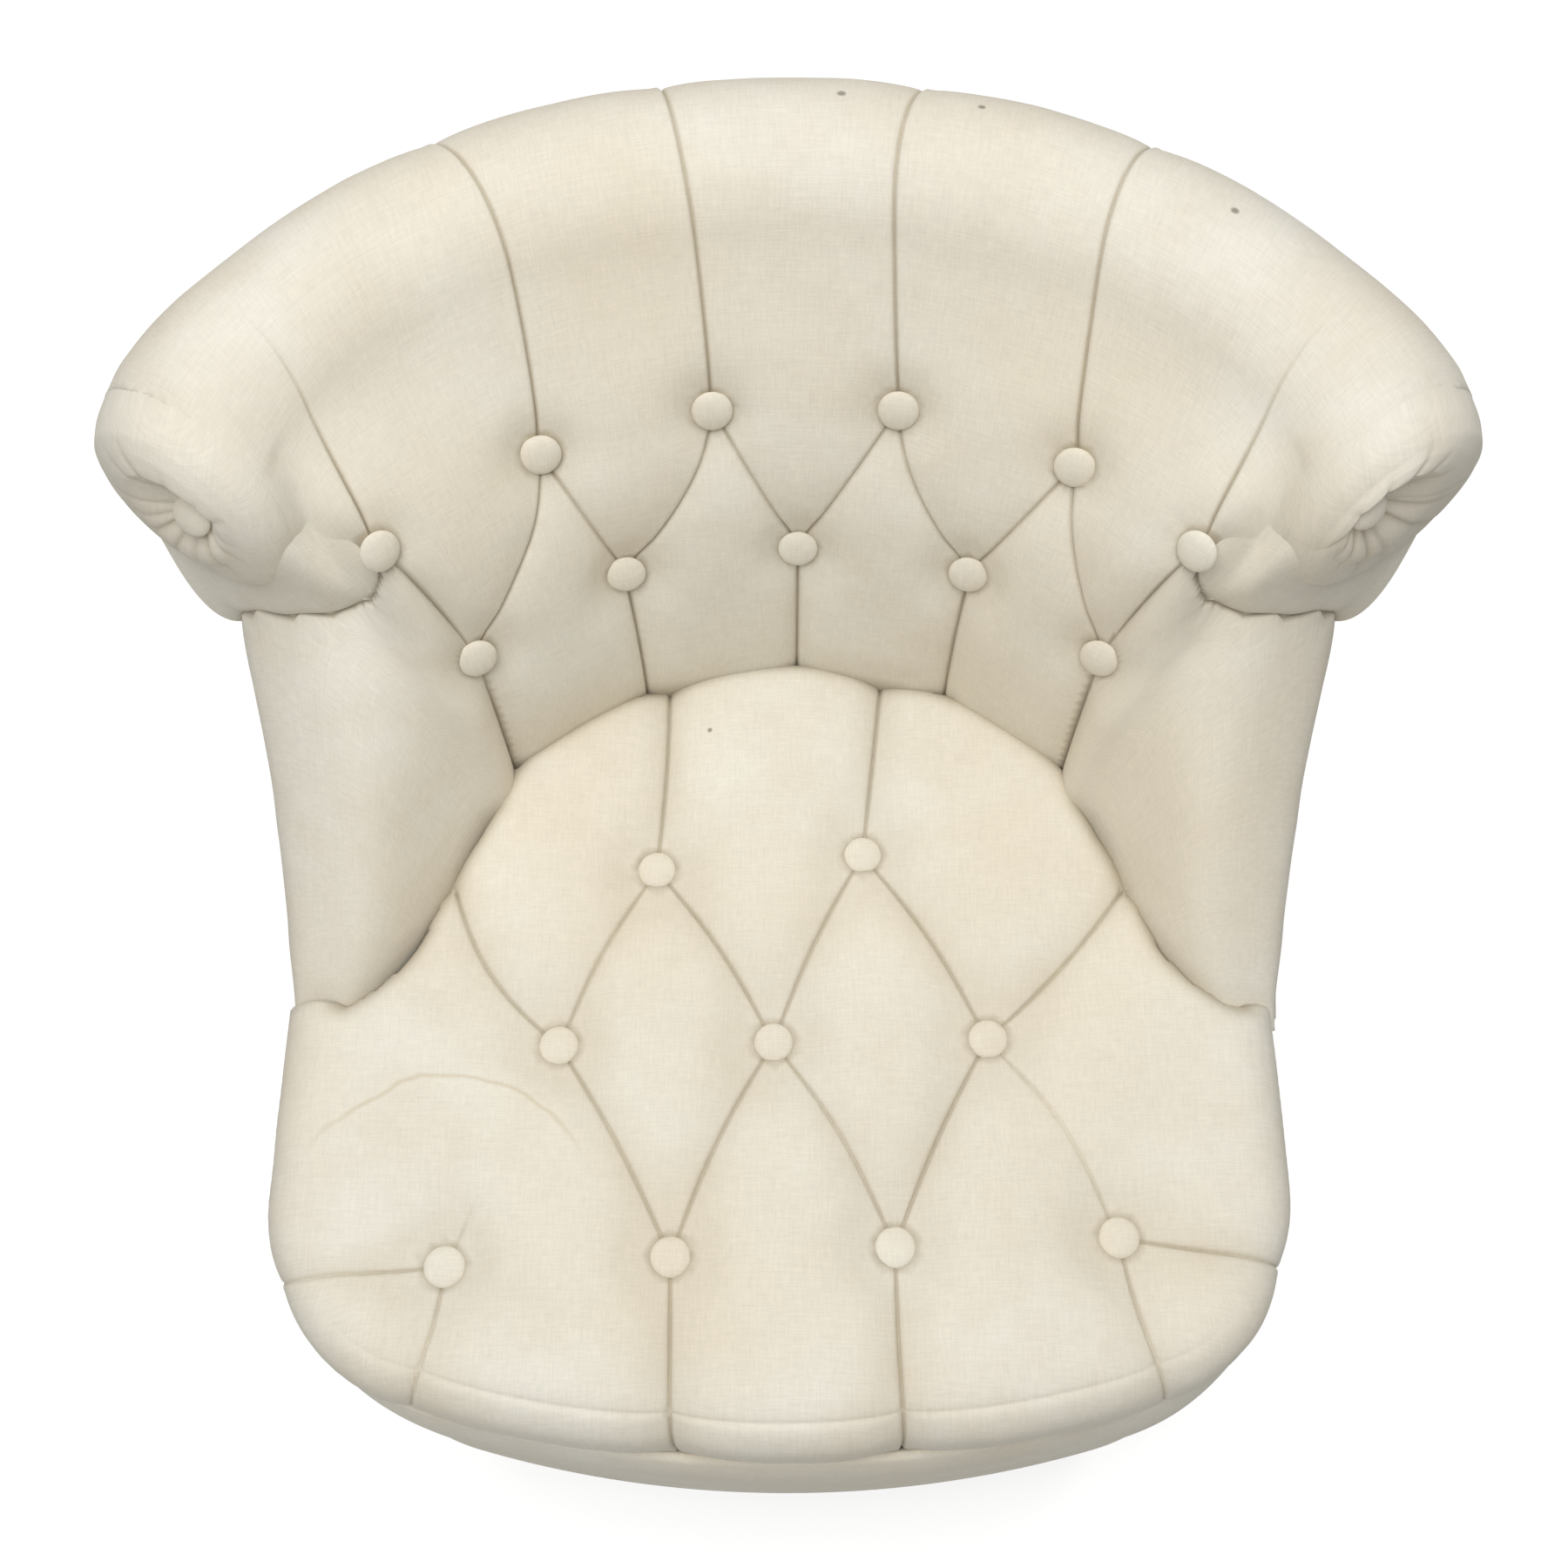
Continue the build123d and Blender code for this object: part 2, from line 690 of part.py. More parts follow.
def screw(point, direction):
    head = along(point, direction, 0, screw_head_height, screw_head_radius)
    return head + along(point, direction, screw_head_height, screw_length, screw_radius)


def screw_hole(point, direction):
    room = screw_clear
    mouth = along(point, direction, -block_height, screw_head_height + room, screw_head_radius + room)
    return mouth + along(point, direction, 0, screw_length + room, screw_radius + room)


def drilled(piece):
    for hole in bolt_holes():
        piece = piece - hole
    for point, direction in screw_seats():
        piece = piece - screw_hole(point, direction)
    return piece


def make_rails():
    """The seat frame's ring, sawn into its front, side and back rails."""
    ring = extrude(base_face(rail_inset), rail_height) - extrude(base_face(ring_inset), rail_height)
    ring = drilled(Pos(0, 0, rail_bottom) * ring)
    front_joint = corner_end(0)
    back_joint = base_middle_y + rail_joint_back
    room = 2 * depth
    front = ring & Pos(0, front_joint - room / 2, 0) * Box(room, room, room)
    back = ring & Pos(0, back_joint + room / 2, 0) * Box(room, room, room)
    sides = ring & Pos(0, (front_joint + back_joint) / 2, 0) * Box(room, back_joint - front_joint, room)
    left, right = sides.solids().sort_by(Axis.X)
    return {"seat_front_rail": front, "seat_back_rail": back,
            "seat_side_rail_left": left, "seat_side_rail_right": right}


def corner(x, y, leg_x, leg_y):
    triangle = make_face(Polyline((x, y), (x + leg_x, y), (x, y + leg_y), (x, y)))
    return extrude(triangle, block_height)


def make_corner_blocks():
    """Glued triangular blocks inside the corners of the seat frame."""
    inside = extrude(base_face(ring_inset + wood_gap), block_height)
    front = front_y + border_bulge + border_foot_setback + rail_inset
    back = base_back_y - ring_inset
    blocks = {}
    for side, name in ((-1, "left"), (1, "right")):
        edge = side * (base_half_width - rail_inset)
        block = inside & corner(edge, front, -side * front_block_leg, front_block_leg)
        blocks["front_block_" + name] = drilled(Pos(0, 0, rail_bottom) * block)
        block = inside & corner(edge, back, -side * back_block_leg, -back_block_leg)
        blocks["back_block_" + name] = drilled(Pos(0, 0, rail_bottom) * block)
    return blocks


def slab_section(station, near, far, bottom, top):
    corners = [station.at(near, bottom), station.at(far, bottom), station.at(far, top), station.at(near, top)]
    return Wire.make_polygon(corners, close=True)


def top_rail_top(station):
    return station.height - rail_drop - wood_gap


def make_top_rail():
    """The curved rail under the roll."""
    wires = []
    for column in columns():
        if abs(column) < last_column:
            station = back_station(column)
            top = top_rail_top(station)
            near = station.reach - top_rail_width + rail_room
            far = station.reach - top_rail_setback
            wires.append(slab_section(station, near, far, top - top_rail_height, top))
    return lofted(wires)


def post_front(station, share):
    """Front of an upright post, from its foot (share 0) to its head (share 1)."""
    foot = station.base - rail_inset - rail_room - post_thickness
    head = station.reach - top_rail_width / 2 - post_thickness / 2
    return lerp(foot, head, share)


def make_post(column):
    """A leaning post from the seat frame to the top rail."""
    station = back_station(column)
    head = top_rail_top(station) - top_rail_height - post_room
    wires = []
    for share, height in ((0, rail_top), (1, head)):
        near = post_front(station, share)
        wide = Vector(-station.dy, station.dx, 0) * (post_width / 2)
        a, b = station.at(near, height), station.at(near + post_thickness, height)
        wires.append(Wire.make_polygon([a - wide, b - wide, b + wide, a + wide], close=True))
    return lofted(wires, ruled=True)


def make_tacking_rail():
    """The low curved rail that the inside back is tacked to, in front of the posts."""
    wires = []
    bottom = tuck_height + rail_room
    top = bottom + tacking_rail_height
    for column in columns():
        if abs(column) < last_column:
            station = back_station(column)
            head = top_rail_top(station) - top_rail_height
            share = (bottom - rail_top) / (head - rail_top)
            far = post_front(station, share) - post_room
            wires.append(slab_section(station, pad_thickness + soft_gap, far, bottom, top))
    return lofted(wires)


def make_arm_rail(side):
    """The sloping rail under the top padding of an arm."""
    wires = []
    for station in arm_stations(side):
        top = station.height - arm_side - arm_rail_room
        bottom = top - arm_rail_height
        far = cover_reach(station, bottom) - border_wall - cover_gap
        near = max(arm_shelf(station) + 2 * cover_gap, far - arm_rail_width)
        wires.append(slab_section(station, near, far, bottom, top))
    return lofted(wires)


def make_arm_stump(side):
    """The short post at the front of an arm."""
    station = arm_station(side, arm_stump_share)
    top = station.height - arm_side - wood_gap - arm_rail_height - stump_room
    outside = base_half_width - rail_inset - rail_room
    x = side * (outside - stump_thickness / 2)
    return Pos(x, station.foot[1], (rail_top + top) / 2) * Box(stump_thickness, stump_width, top - rail_top)


# ------------------------------------------------------------------ outside covers
def cover_points(station, top_reach, top_height):
    """Lower edge, middle and top of an outside cover in one plane."""
    bottom = leg_height + cover_lift
    mid = lerp(station.base, top_reach, cover_mid_share)
    mid_height = lerp(bottom, top_height, cover_mid_height)
    return [(station.base, bottom), (mid, mid_height), (top_reach, top_height)]


def cover_reach(station, height):
    """Where the outside of an arm stands at a height above its middle."""
    mid, top = cover_points(station, station.reach, station.height - arm_side - soft_gap)[1:]
    return lerp(mid[0], top[0], (height - mid[1]) / (top[1] - mid[1]))


def cover_section(station, top_reach, top_height):
    points = cover_points(station, top_reach, top_height)
    inner = [(reach - border_wall, height) for reach, height in points]
    edges = [
        ThreePointArc(*[station.at(*point) for point in points]),
        Line(station.at(*points[2]), station.at(*inner[2])),
        ThreePointArc(*[station.at(*point) for point in reversed(inner)]),
        Line(station.at(*inner[0]), station.at(*points[0])),
    ]
    return Wire(edges)


def make_outside_back():
    wires = []
    for column in columns():
        station = back_station(column)
        wires.append(cover_section(station, station.reach + roll_tail, station.height - rail_drop - soft_gap))
    return lofted(wires)


def make_outside_arm(side):
    wires = []
    for station in arm_stations(side):
        wires.append(cover_section(station, station.reach, station.height - arm_side - soft_gap))
    return lofted(wires)


def make_scroll_end(side):
    """The gathered round end of the roll, with its button dimple."""
    radius = roll_radius - scroll_clear
    floor = button_diameter / 2 + button_floor
    hollow = scroll_dome * scroll_hollow_share
    edge = scroll_dome - scroll_edge
    arc = ThreePointArc((radius, edge),
                        (radius - scroll_edge * (1 - cos(pi / 4)), edge + scroll_edge * sin(pi / 4)),
                        (radius - scroll_edge, scroll_dome))
    profile = Polyline((radius - scroll_edge, scroll_dome), (dimple_mouth, scroll_dome), (floor, hollow),
                       (0, hollow), (0, 0), (radius, 0), (radius, edge))
    face = make_face(Plane.XZ * (arc + profile))
    return scroll_plane(side) * revolve(face, Axis.Z)


def scroll_plane(side):
    """On the end face of the roll, looking out of it."""
    station = back_station(last_column * side)
    out = Vector(station.dy * side, -station.dx * side, 0)
    return Plane(origin=station.at(station.reach, station.height) + out * soft_gap, z_dir=out)


def scroll_button(side):
    plane = scroll_plane(side)
    return button(plane.origin + plane.z_dir * scroll_dome * scroll_hollow_share, plane.z_dir)


# ------------------------------------------------------------------ hidden upholstery
def make_long_straps():
    inside = extrude(base_face((rail_inset + ring_inset) / 2), strap_thickness)
    straps = []
    for place in (-1, 0, 1):
        strap = Pos(place * long_strap_spread, 0, 0) * Box(strap_width, 2 * depth, 2 * strap_thickness)
        straps.append(Pos(0, 0, rail_top) * (inside & strap))
    return Compound(straps)


def cross_strap_rows():
    stump_y = arm_station(1, arm_stump_share).foot[1]
    front = [front_y + front_strap_setback + place * front_strap_row for place in range(front_strap_count)]
    middle = stump_y + (stump_width + strap_width) / 2 + cross_strap_gap
    return front + [middle, middle + strap_width + cross_strap_gap, base_back_y - back_strap_setback]


def make_cross_straps():
    inside = extrude(base_face((rail_inset + ring_inset) / 2), strap_thickness)
    level = rail_top + strap_thickness + layer_gap
    straps = []
    for row in cross_strap_rows():
        strap = Pos(0, row, 0) * Box(2 * depth, strap_width, 2 * strap_thickness)
        straps.append(Pos(0, 0, level) * (inside & strap))
    return Compound(straps)


hessian_bottom = rail_top + 2 * (strap_thickness + layer_gap)
foam_bottom = hessian_bottom + hessian_thickness + layer_gap


def make_hessian():
    return Pos(0, 0, hessian_bottom) * extrude(base_face(ring_inset + wood_gap), hessian_thickness)


def make_foam():
    return seat_slab(-foam_side_gap, foam_bottom, seam_height - layer_gap)


def make_dust_cover():
    sheet = extrude(base_face(rail_inset), dust_cover_thickness)
    sheet = Pos(0, 0, rail_bottom - layer_gap - dust_cover_thickness) * sheet
    for x, y in bolt_points():
        room = leg_ring_radius + dust_cover_room
        sheet = sheet - Pos(x, y, rail_bottom) * Box(2 * room, 2 * room, rail_height)
    return sheet


def make_back_strap(column):
    """A strap of webbing behind the padding of the inside back."""
    wires = []
    for place in (column - back_strap_half, column + back_strap_half):
        station = back_station(place)
        shelf_height = station.height - rail_drop
        shelf = station.reach - top_rail_width
        low = tuck_height + tacking_rail_height + back_strap_lift
        high = shelf_height - top_rail_height * back_strap_lap
        points = []
        for height in (low, high):
            share = max(0, (height - seat_meet) / (shelf_height - seat_meet))
            points.append((lerp(pad_thickness, shelf, share) + 2 * soft_gap, height))
        quad = [points[0], (points[0][0] + strap_thickness, points[0][1]),
                (points[1][0] + strap_thickness, points[1][1]), points[1]]
        wires.append(Wire.make_polygon([station.at(*point) for point in quad], close=True))
    return lofted(wires, ruled=True)


# ------------------------------------------------------------------ legs
def make_front_leg(x, y):
    """A turned tapered leg with a ring below its head."""
    head = leg_height - leg_head_height
    ring_top = head - leg_shoulder_height
    ring = ring_top - leg_ring_height
    shoulder = ring - leg_shoulder_height
    taper = shoulder - leg_shoulder_height
    neck = leg_top_radius - leg_neck_setback
    waist = leg_top_radius - leg_waist_setback
    profile = [
        Line((0, glide_height), (leg_foot_radius, glide_height)),
        ThreePointArc((leg_foot_radius, glide_height),
                      (lerp(leg_foot_radius, waist, leg_swell_share), (glide_height + ring) / 2),
                      (waist, taper)),
        Line((waist, taper), (neck, shoulder)),
        Line((neck, shoulder), (neck, ring)),
        ThreePointArc((neck, ring), (leg_ring_radius, (ring + ring_top) / 2), (neck, ring_top)),
        Line((neck, ring_top), (leg_top_radius, head)),
        Line((leg_top_radius, head), (leg_top_radius, leg_height)),
        Line((leg_top_radius, leg_height), (0, leg_height)),
        Line((0, leg_height), (0, glide_height)),
    ]
    turned = revolve(Plane.XZ * make_face(profile), Axis.Z)
    return Pos(x, y, 0) * turned


def square(size, x, y, height):
    half = size / 2
    corners = [(x - half, y - half, height), (x + half, y - half, height),
               (x + half, y + half, height), (x - half, y + half, height)]
    return Wire.make_polygon(corners, close=True)


def make_back_leg(x, y):
    """A square sabre leg that rakes backwards to its foot."""
    knee = lerp(glide_height, leg_height, back_leg_knee_height)
    knee_size = lerp(back_leg_foot, back_leg_top, back_leg_knee_taper)
    wires = [
        square(back_leg_foot, x, y + back_leg_foot_offset, glide_height),
        square(knee_size, x, y + back_leg_foot_offset * back_leg_knee_offset, knee),
        square(back_leg_top, x, y, leg_height),
    ]
    return lofted(wires)


def make_legs():
    legs = {}
    glides = []
    bolts = []
    for index, (x, y) in enumerate(bolt_points()):
        name = "left" if x < 0 else "right"
        front = index % 2 == 0
        leg = make_front_leg(x, y) if front else make_back_leg(x, y)
        for hole in bolt_holes():
            leg = leg - hole
        legs[("front_leg_" if front else "back_leg_") + name] = leg
        foot_y = y if front else y + back_leg_foot_offset
        glides.append(upright(x, foot_y, 0, glide_height, glide_radius))
        bolts.append(upright(x, y, leg_height - bolt_in_leg, leg_height + bolt_in_rail, bolt_radius))
    legs["leg_glides"] = Compound(glides)
    legs["leg_bolts"] = Compound(bolts)
    return legs


# ------------------------------------------------------------------ the chair
save("inside_back", make_inside_back())
save("seat_pad", make_seat_pad())
save("seat_border", make_seat_border())
save("seat_foam", make_foam())
save("outside_back", make_outside_back())
for side, name in ((-1, "left"), (1, "right")):
    save("inside_arm_" + name, make_arm_pad(side))
    save("outside_arm_" + name, make_outside_arm(side))
    save("scroll_end_" + name, make_scroll_end(side))
    save("arm_rail_" + name, make_arm_rail(side))
    save("arm_stump_" + name, make_arm_stump(side))
    save("back_post_" + name, make_post(back_post_column * side))
    save("arm_post_" + name, make_post(arm_post_column * side))
for name, piece in {**make_rails(), **make_corner_blocks(), **make_legs()}.items():
    save(name, piece)
save("top_rail", make_top_rail())
save("tacking_rail", make_tacking_rail())
save("block_screws", Compound([screw(point, direction) for point, direction in screw_seats()]))
save("seat_straps_long", make_long_straps())
save("seat_straps_cross", make_cross_straps())
save("seat_hessian", make_hessian())
save("back_straps", Compound([make_back_strap(column) for column in back_button_columns[::2]]))
save("dust_cover", make_dust_cover())
save("seat_buttons", Compound([button(Vector(x, y, seat_floor()), Vector(0, 0, 1))
                               for x, y in seat_button_points()]))
save("back_buttons", Compound([button(*face_frame(column)) for column in back_button_columns]))
save("scroll_buttons", Compound([scroll_button(side) for side in (-1, 1)]))
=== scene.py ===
import bpy
import json
import math
import numpy as np
from mathutils import Matrix, Vector
from mathutils.geometry import delaunay_2d_cdt
from mathutils.kdtree import KDTree


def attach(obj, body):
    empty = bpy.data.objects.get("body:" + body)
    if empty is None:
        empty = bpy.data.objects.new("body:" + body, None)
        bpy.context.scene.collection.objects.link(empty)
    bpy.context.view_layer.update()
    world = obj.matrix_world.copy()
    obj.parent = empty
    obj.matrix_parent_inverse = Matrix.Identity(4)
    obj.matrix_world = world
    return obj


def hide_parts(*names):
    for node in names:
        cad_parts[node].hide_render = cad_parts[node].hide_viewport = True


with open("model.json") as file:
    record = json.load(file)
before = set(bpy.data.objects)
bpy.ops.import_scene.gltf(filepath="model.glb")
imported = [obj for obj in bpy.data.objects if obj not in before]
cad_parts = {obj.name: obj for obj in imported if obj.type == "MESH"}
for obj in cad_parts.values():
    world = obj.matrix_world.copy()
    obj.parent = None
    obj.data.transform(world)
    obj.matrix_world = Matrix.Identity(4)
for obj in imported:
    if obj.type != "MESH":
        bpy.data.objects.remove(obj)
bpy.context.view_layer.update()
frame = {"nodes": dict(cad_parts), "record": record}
bpy.ops.object.select_all(action="DESELECT")
scene = bpy.context.scene
print("frame loaded")

mm = 0.001


def mix(a, b, share):
    return a + (b - a) * share


def smooth(x):
    x = np.clip(x, 0, 1)
    return x * x * (3 - 2 * x)


def passing(x, start, over, low, high):
    # goes smoothly from low to high, from a start and over a length
    return mix(low, high, smooth((x - start) / over))


# colours and nodes
def toLinear(hexColour):
    values = [int(hexColour[i:i + 2], 16) / 255 for i in (1, 3, 5)]
    return tuple(v / 12.92 if v <= 0.04045 else ((v + 0.055) / 1.055) ** 2.4 for v in values) + (1.0,)


def addNode(owner, kind, values):
    # each value is a setting, a number or another node's output
    node = owner.node_tree.nodes.new(kind)
    for name, value in values.items():
        if isinstance(value, bpy.types.NodeSocket):
            owner.node_tree.links.new(value, node.inputs[name])
        elif name in node.inputs.keys() or isinstance(name, int):
            node.inputs[name].default_value = value
        else:
            setattr(node, name, value)
    return node


def calculated(m, operation, a, b=0.0):
    return addNode(m, "ShaderNodeMath", {"operation": operation, 0: a, 1: b}).outputs[0]


def ranged(m, value, low, high, toLow=0.0, toHigh=1.0):
    return addNode(m, "ShaderNodeMapRange", {"Value": value, "From Min": low, "From Max": high, "To Min": toLow,
                                             "To Max": toHigh}).outputs[0]


def noise(m, vector, scale, detail, roughness=0.5, distortion=0.0):
    return addNode(m, "ShaderNodeTexNoise", {"Vector": vector, "Scale": scale, "Detail": detail,
                                             "Roughness": roughness, "Distortion": distortion}).outputs["Fac"]


def blended(m, share, a, b):
    return addNode(m, "ShaderNodeMix", {"data_type": "RGBA", 0: share, 6: a, 7: b}).outputs[2]


def bumped(m, height, strength, distance):
    return addNode(m, "ShaderNodeBump", {"Height": height, "Strength": strength,
                                         "Distance": distance * mm}).outputs[0]


def placeOn(m):
    return addNode(m, "ShaderNodeTexCoord", {}).outputs["Object"]


def newMaterial(name):
    material = bpy.data.materials.new(name)
    material.use_nodes = True
    material.node_tree.nodes.clear()
    return material


def finishMaterial(material, shader):
    addNode(material, "ShaderNodeOutputMaterial", {"Surface": shader.outputs[0]})
    return material


# natural linen, plain weave, piece dyed cream: matte with slubs and a faint sheen
linenLook = {
    # the crease colour below is painted shade, for the creases, hollows and joins
    "light": "#eee9db", "shade": "#e7decc", "warm": "#ebe0ca", "creaseShade": "#a3967c", "stain": "#c9b993",
    "speck": "#6d6458",
    "threadWidth": 0.9,    # mm between threads; the real 0.6 mm would not show in the photograph's pixels
    "threadLength": 9.0,   # mm over which a thread keeps its thickness
    "slubWidth": 1.8,      # mm
    "slubLength": 38.0,    # mm
    "mottle": 70.0,        # mm across a patch of the darker cream
    "warmPatch": 200.0,    # mm across a warmer patch
    "threadTone": (0.945, 1.035), "slubTone": (0.975, 1.02), "roughness": 0.9, "sheen": 0.1, "specular": 0.25,
    "bump": 0.22, "bumpHeight": 0.4,
    # small marks seen from above, in mm: place and radius
    "specks": ((28, 304, 1.5), (102, 297, 1.3), (230, 231, 1.4), (-48, 78, 0.9)), "speckShare": 0.7,
    # the tide line of a dried stain on the seat, in mm
    "tideCentre": (-190, -232), "tideRadius": 90, "tideFrom": -190, "tideTo": -160, "tideWander": 16,
    "tideLine": (0.3, 2.0), "tideGrain": 22.0, "tideShare": 0.4,
}


def threads(m, cloth, width, length):
    # stretched noise along the weft and the warp, added up
    both = []
    for scale in ((1000 / length, 1000 / width, 1), (1000 / width, 1000 / length, 1)):
        run = addNode(m, "ShaderNodeMapping", {"Vector": cloth, "Scale": scale})
        both.append(noise(m, run.outputs[0], 1.0, 1.5, 0.6))
    return calculated(m, "ADD", *both)


def toned(m, base, reading, tone):
    share = ranged(m, reading, 0.7, 1.3, *tone)
    return addNode(m, "ShaderNodeVectorMath", {"operation": "SCALE", 0: base, "Scale": share}).outputs[0]


def distanceFrom(m, plan, x, y):
    return addNode(m, "ShaderNodeVectorMath", {"operation": "DISTANCE", 0: plan,
                                               1: (x / 1000, y / 1000, 0)}).outputs["Value"]


def tideLine(m, plan, look):
    # a wandering ring that fades out towards the front
    wander = calculated(m, "MULTIPLY", noise(m, plan, look["tideGrain"], 3.0), look["tideWander"] / 1000)
    ring = calculated(m, "ADD", distanceFrom(m, plan, *look["tideCentre"]), wander)
    ring = calculated(m, "SUBTRACT", ring, (look["tideRadius"] + look["tideWander"] / 2) / 1000)
    thin, wide = look["tideLine"]
    line = ranged(m, calculated(m, "ABSOLUTE", ring), thin / 1000, wide / 1000, look["tideShare"], 0.0)
    apart = addNode(m, "ShaderNodeSeparateXYZ", {0: plan})
    seen = ranged(m, apart.outputs["Y"], look["tideFrom"] / 1000, look["tideTo"] / 1000)
    return calculated(m, "MULTIPLY", line, seen)


def marked(m, base, place, look):
    # specks and the tide line, placed by their distance seen from above
    plan = addNode(m, "ShaderNodeVectorMath", {"operation": "MULTIPLY", 0: place, 1: (1, 1, 0)}).outputs[0]
    for x, y, radius in look["specks"]:
        spot = ranged(m, distanceFrom(m, plan, x, y), radius / 1000, radius / 500, look["speckShare"], 0.0)
        base = blended(m, spot, base, toLinear(look["speck"]))
    return blended(m, tideLine(m, plan, look), base, toLinear(look["stain"]))


def linenMaterial(name, look):
    m = newMaterial(name)
    cloth = addNode(m, "ShaderNodeUVMap", {"uv_map": "cloth"}).outputs[0]  # metres along the weft and the warp
    place = placeOn(m)
    weave = threads(m, cloth, look["threadWidth"], look["threadLength"])
    slubs = threads(m, cloth, look["slubWidth"], look["slubLength"])
    mottle = ranged(m, noise(m, place, 1000 / look["mottle"], 4.0, 0.6), 0.35, 0.7)
    warmth = ranged(m, noise(m, place, 1000 / look["warmPatch"], 2.0), 0.45, 0.75, 0.0, 0.7)
    base = blended(m, mottle, toLinear(look["light"]), toLinear(look["shade"]))
    base = blended(m, warmth, base, toLinear(look["warm"]))
    base = toned(m, base, slubs, look["slubTone"])
    base = toned(m, base, weave, look["threadTone"])
    # painted shade: darkens the cloth where the mesh marks creases, hollows and joins
    reading = addNode(m, "ShaderNodeAttribute", {"attribute_name": "creaseShade"})
    base = blended(m, reading.outputs["Fac"], base, toLinear(look["creaseShade"]))
    base = marked(m, base, place, look)
    bump = bumped(m, calculated(m, "ADD", slubs, weave), look["bump"], look["bumpHeight"])
    shader = addNode(m, "ShaderNodeBsdfPrincipled",
                     {"Roughness": look["roughness"], "IOR": 1.5, "Specular IOR Level": look["specular"],
                      "Sheen Weight": look["sheen"], "Sheen Roughness": 0.5, "Base Color": base, "Normal": bump})
    return finishMaterial(m, shader)


linen = linenMaterial("linenPlainWeave", linenLook)

# beech: long grain, 3 mm across and 90 mm along, with small pores; the legs are stained and lacquered satin
woodLook = {"dark": "#2c1a10", "light": "#4a2d1b", "grain": (3.0, 3.0, 90.0), "roughness": 0.32, "coat": 0.3}
bareWoodLook = {"dark": "#a67f4f", "light": "#c9a777", "grain": (3.0, 3.0, 90.0), "roughness": 0.7, "coat": 0.0}


def woodMaterial(name, look):
    m = newMaterial(name)
    scale = [1000 / run for run in look["grain"]]
    stretched = addNode(m, "ShaderNodeMapping", {"Vector": placeOn(m), "Scale": scale})
    grain = noise(m, stretched.outputs[0], 1.0, 5.0, 0.65, 0.4)
    colour = blended(m, ranged(m, grain, 0.35, 0.68), toLinear(look["dark"]), toLinear(look["light"]))
    shader = addNode(m, "ShaderNodeBsdfPrincipled",
                     {"Roughness": look["roughness"], "IOR": 1.5, "Coat Weight": look["coat"],
                      "Coat Roughness": 0.2, "Base Color": colour, "Normal": bumped(m, grain, 0.2, 0.3)})
    return finishMaterial(m, shader)


legWood = woodMaterial("beechDarkStain", woodLook)
bareWood = woodMaterial("beechPlaned", bareWoodLook)


# plain cloths and small parts that only show from below
def plainCloth(name, dark, light, thread, roughness):
    m = newMaterial(name)
    place = placeOn(m)
    scale = 1000 / thread * math.pi / 10  # the bands of a wave texture repeat every pi / 10 m
    warp, weft = (addNode(m, "ShaderNodeTexWave", {"bands_direction": way, "Scale": scale, "Distortion": 1.0,
                                                   "Vector": place}).outputs["Fac"] for way in "XY")
    both = calculated(m, "MULTIPLY", warp, weft)
    colour = blended(m, both, toLinear(dark), toLinear(light))
    shader = addNode(m, "ShaderNodeBsdfPrincipled", {"Roughness": roughness, "IOR": 1.5, "Base Color": colour,
                                                     "Normal": bumped(m, both, 0.4, 0.5)})
    return finishMaterial(m, shader)


# the fourth value is mm between threads, or between the cells of the foam
cambric = plainCloth("cambricNonWoven", "#1d1c1b", "#2b2a28", 1.5, 0.95)
hessian = plainCloth("hessianOpenWeave", "#7d6238", "#b8995f", 2.5, 0.95)
webbing = plainCloth("juteWebbing", "#5a4526", "#8e7347", 2.0, 0.9)
foamCloth = plainCloth("foamCut", "#d9cfae", "#e8dfc2", 2.0, 0.95)


def plainPart(name, colour, metallic, roughness, grit):
    m = newMaterial(name)
    grain = noise(m, placeOn(m), 1000 / grit, 3.0)
    rough = ranged(m, grain, 0.0, 1.0, roughness - 0.08, roughness + 0.12)
    shader = addNode(m, "ShaderNodeBsdfPrincipled", {"Base Color": toLinear(colour), "Metallic": metallic,
                                                     "Roughness": rough, "Normal": bumped(m, grain, 0.15, 0.2)})
    return finishMaterial(m, shader)


# the last value is mm across the grit
glidePlastic = plainPart("nylonMoulded", "#2a2927", 0.0, 0.45, 1.0)
zincSteel = plainPart("steelZincPlated", "#b9bbbd", 1.0, 0.35, 0.8)

slotMaterials = {"foam": foamCloth, "beech": bareWood, "leg_wood": legWood, "glide": glidePlastic,
                 "steel": zincSteel, "webbing": webbing, "hessian": hessian, "lining": cambric, "linen": linen}
for part in frame["record"]["subparts"]:
    node = frame["nodes"][part["node"]]
    node.data.materials.clear()
    node.data.materials.append(slotMaterials[part["material_slot"]])
print("materials made")

# the chair's shape, in millimetres, as in the frame; columns are counted from the middle of the back
shape = {
    "depth": 697.0, "rollRadius": 60.0, "rollHeight": 675.0, "rollEndHeight": 642.0,
    "rollHalfWidth": 323.0, "rollHalfDepth": 232.0, "rollTurns": (8.7, 3, 14.0),
    "wellHalfWidth": 205.0, "wellHalfDepth": 173.0, "wellClear": 162.0, "wellTurns": (13.6, 4, 4.75),
    "lastColumn": 6, "outerColumn": 5, "innerColumn": 4, "lowerRow": (0.115, 542.0), "upperRow": (0.36, 620.0),
    "seatMeet": 427.0, "baseHalfWidth": 268.0, "baseHalfDepth": 223.0, "baseBack": 60.0,
    "armHeelFront": 50.0, "armHeelFlare": 39.0, "armOverhang": 6.0, "armFootHalf": 281.0, "armWaist": 14.0,
    "armTop": 572.0, "armFoot": 430.0,
}
lastColumn, outerColumn, innerColumn = shape["lastColumn"], shape["outerColumn"], shape["innerColumn"]
upperColumns = range(-outerColumn, outerColumn + 1, 2)
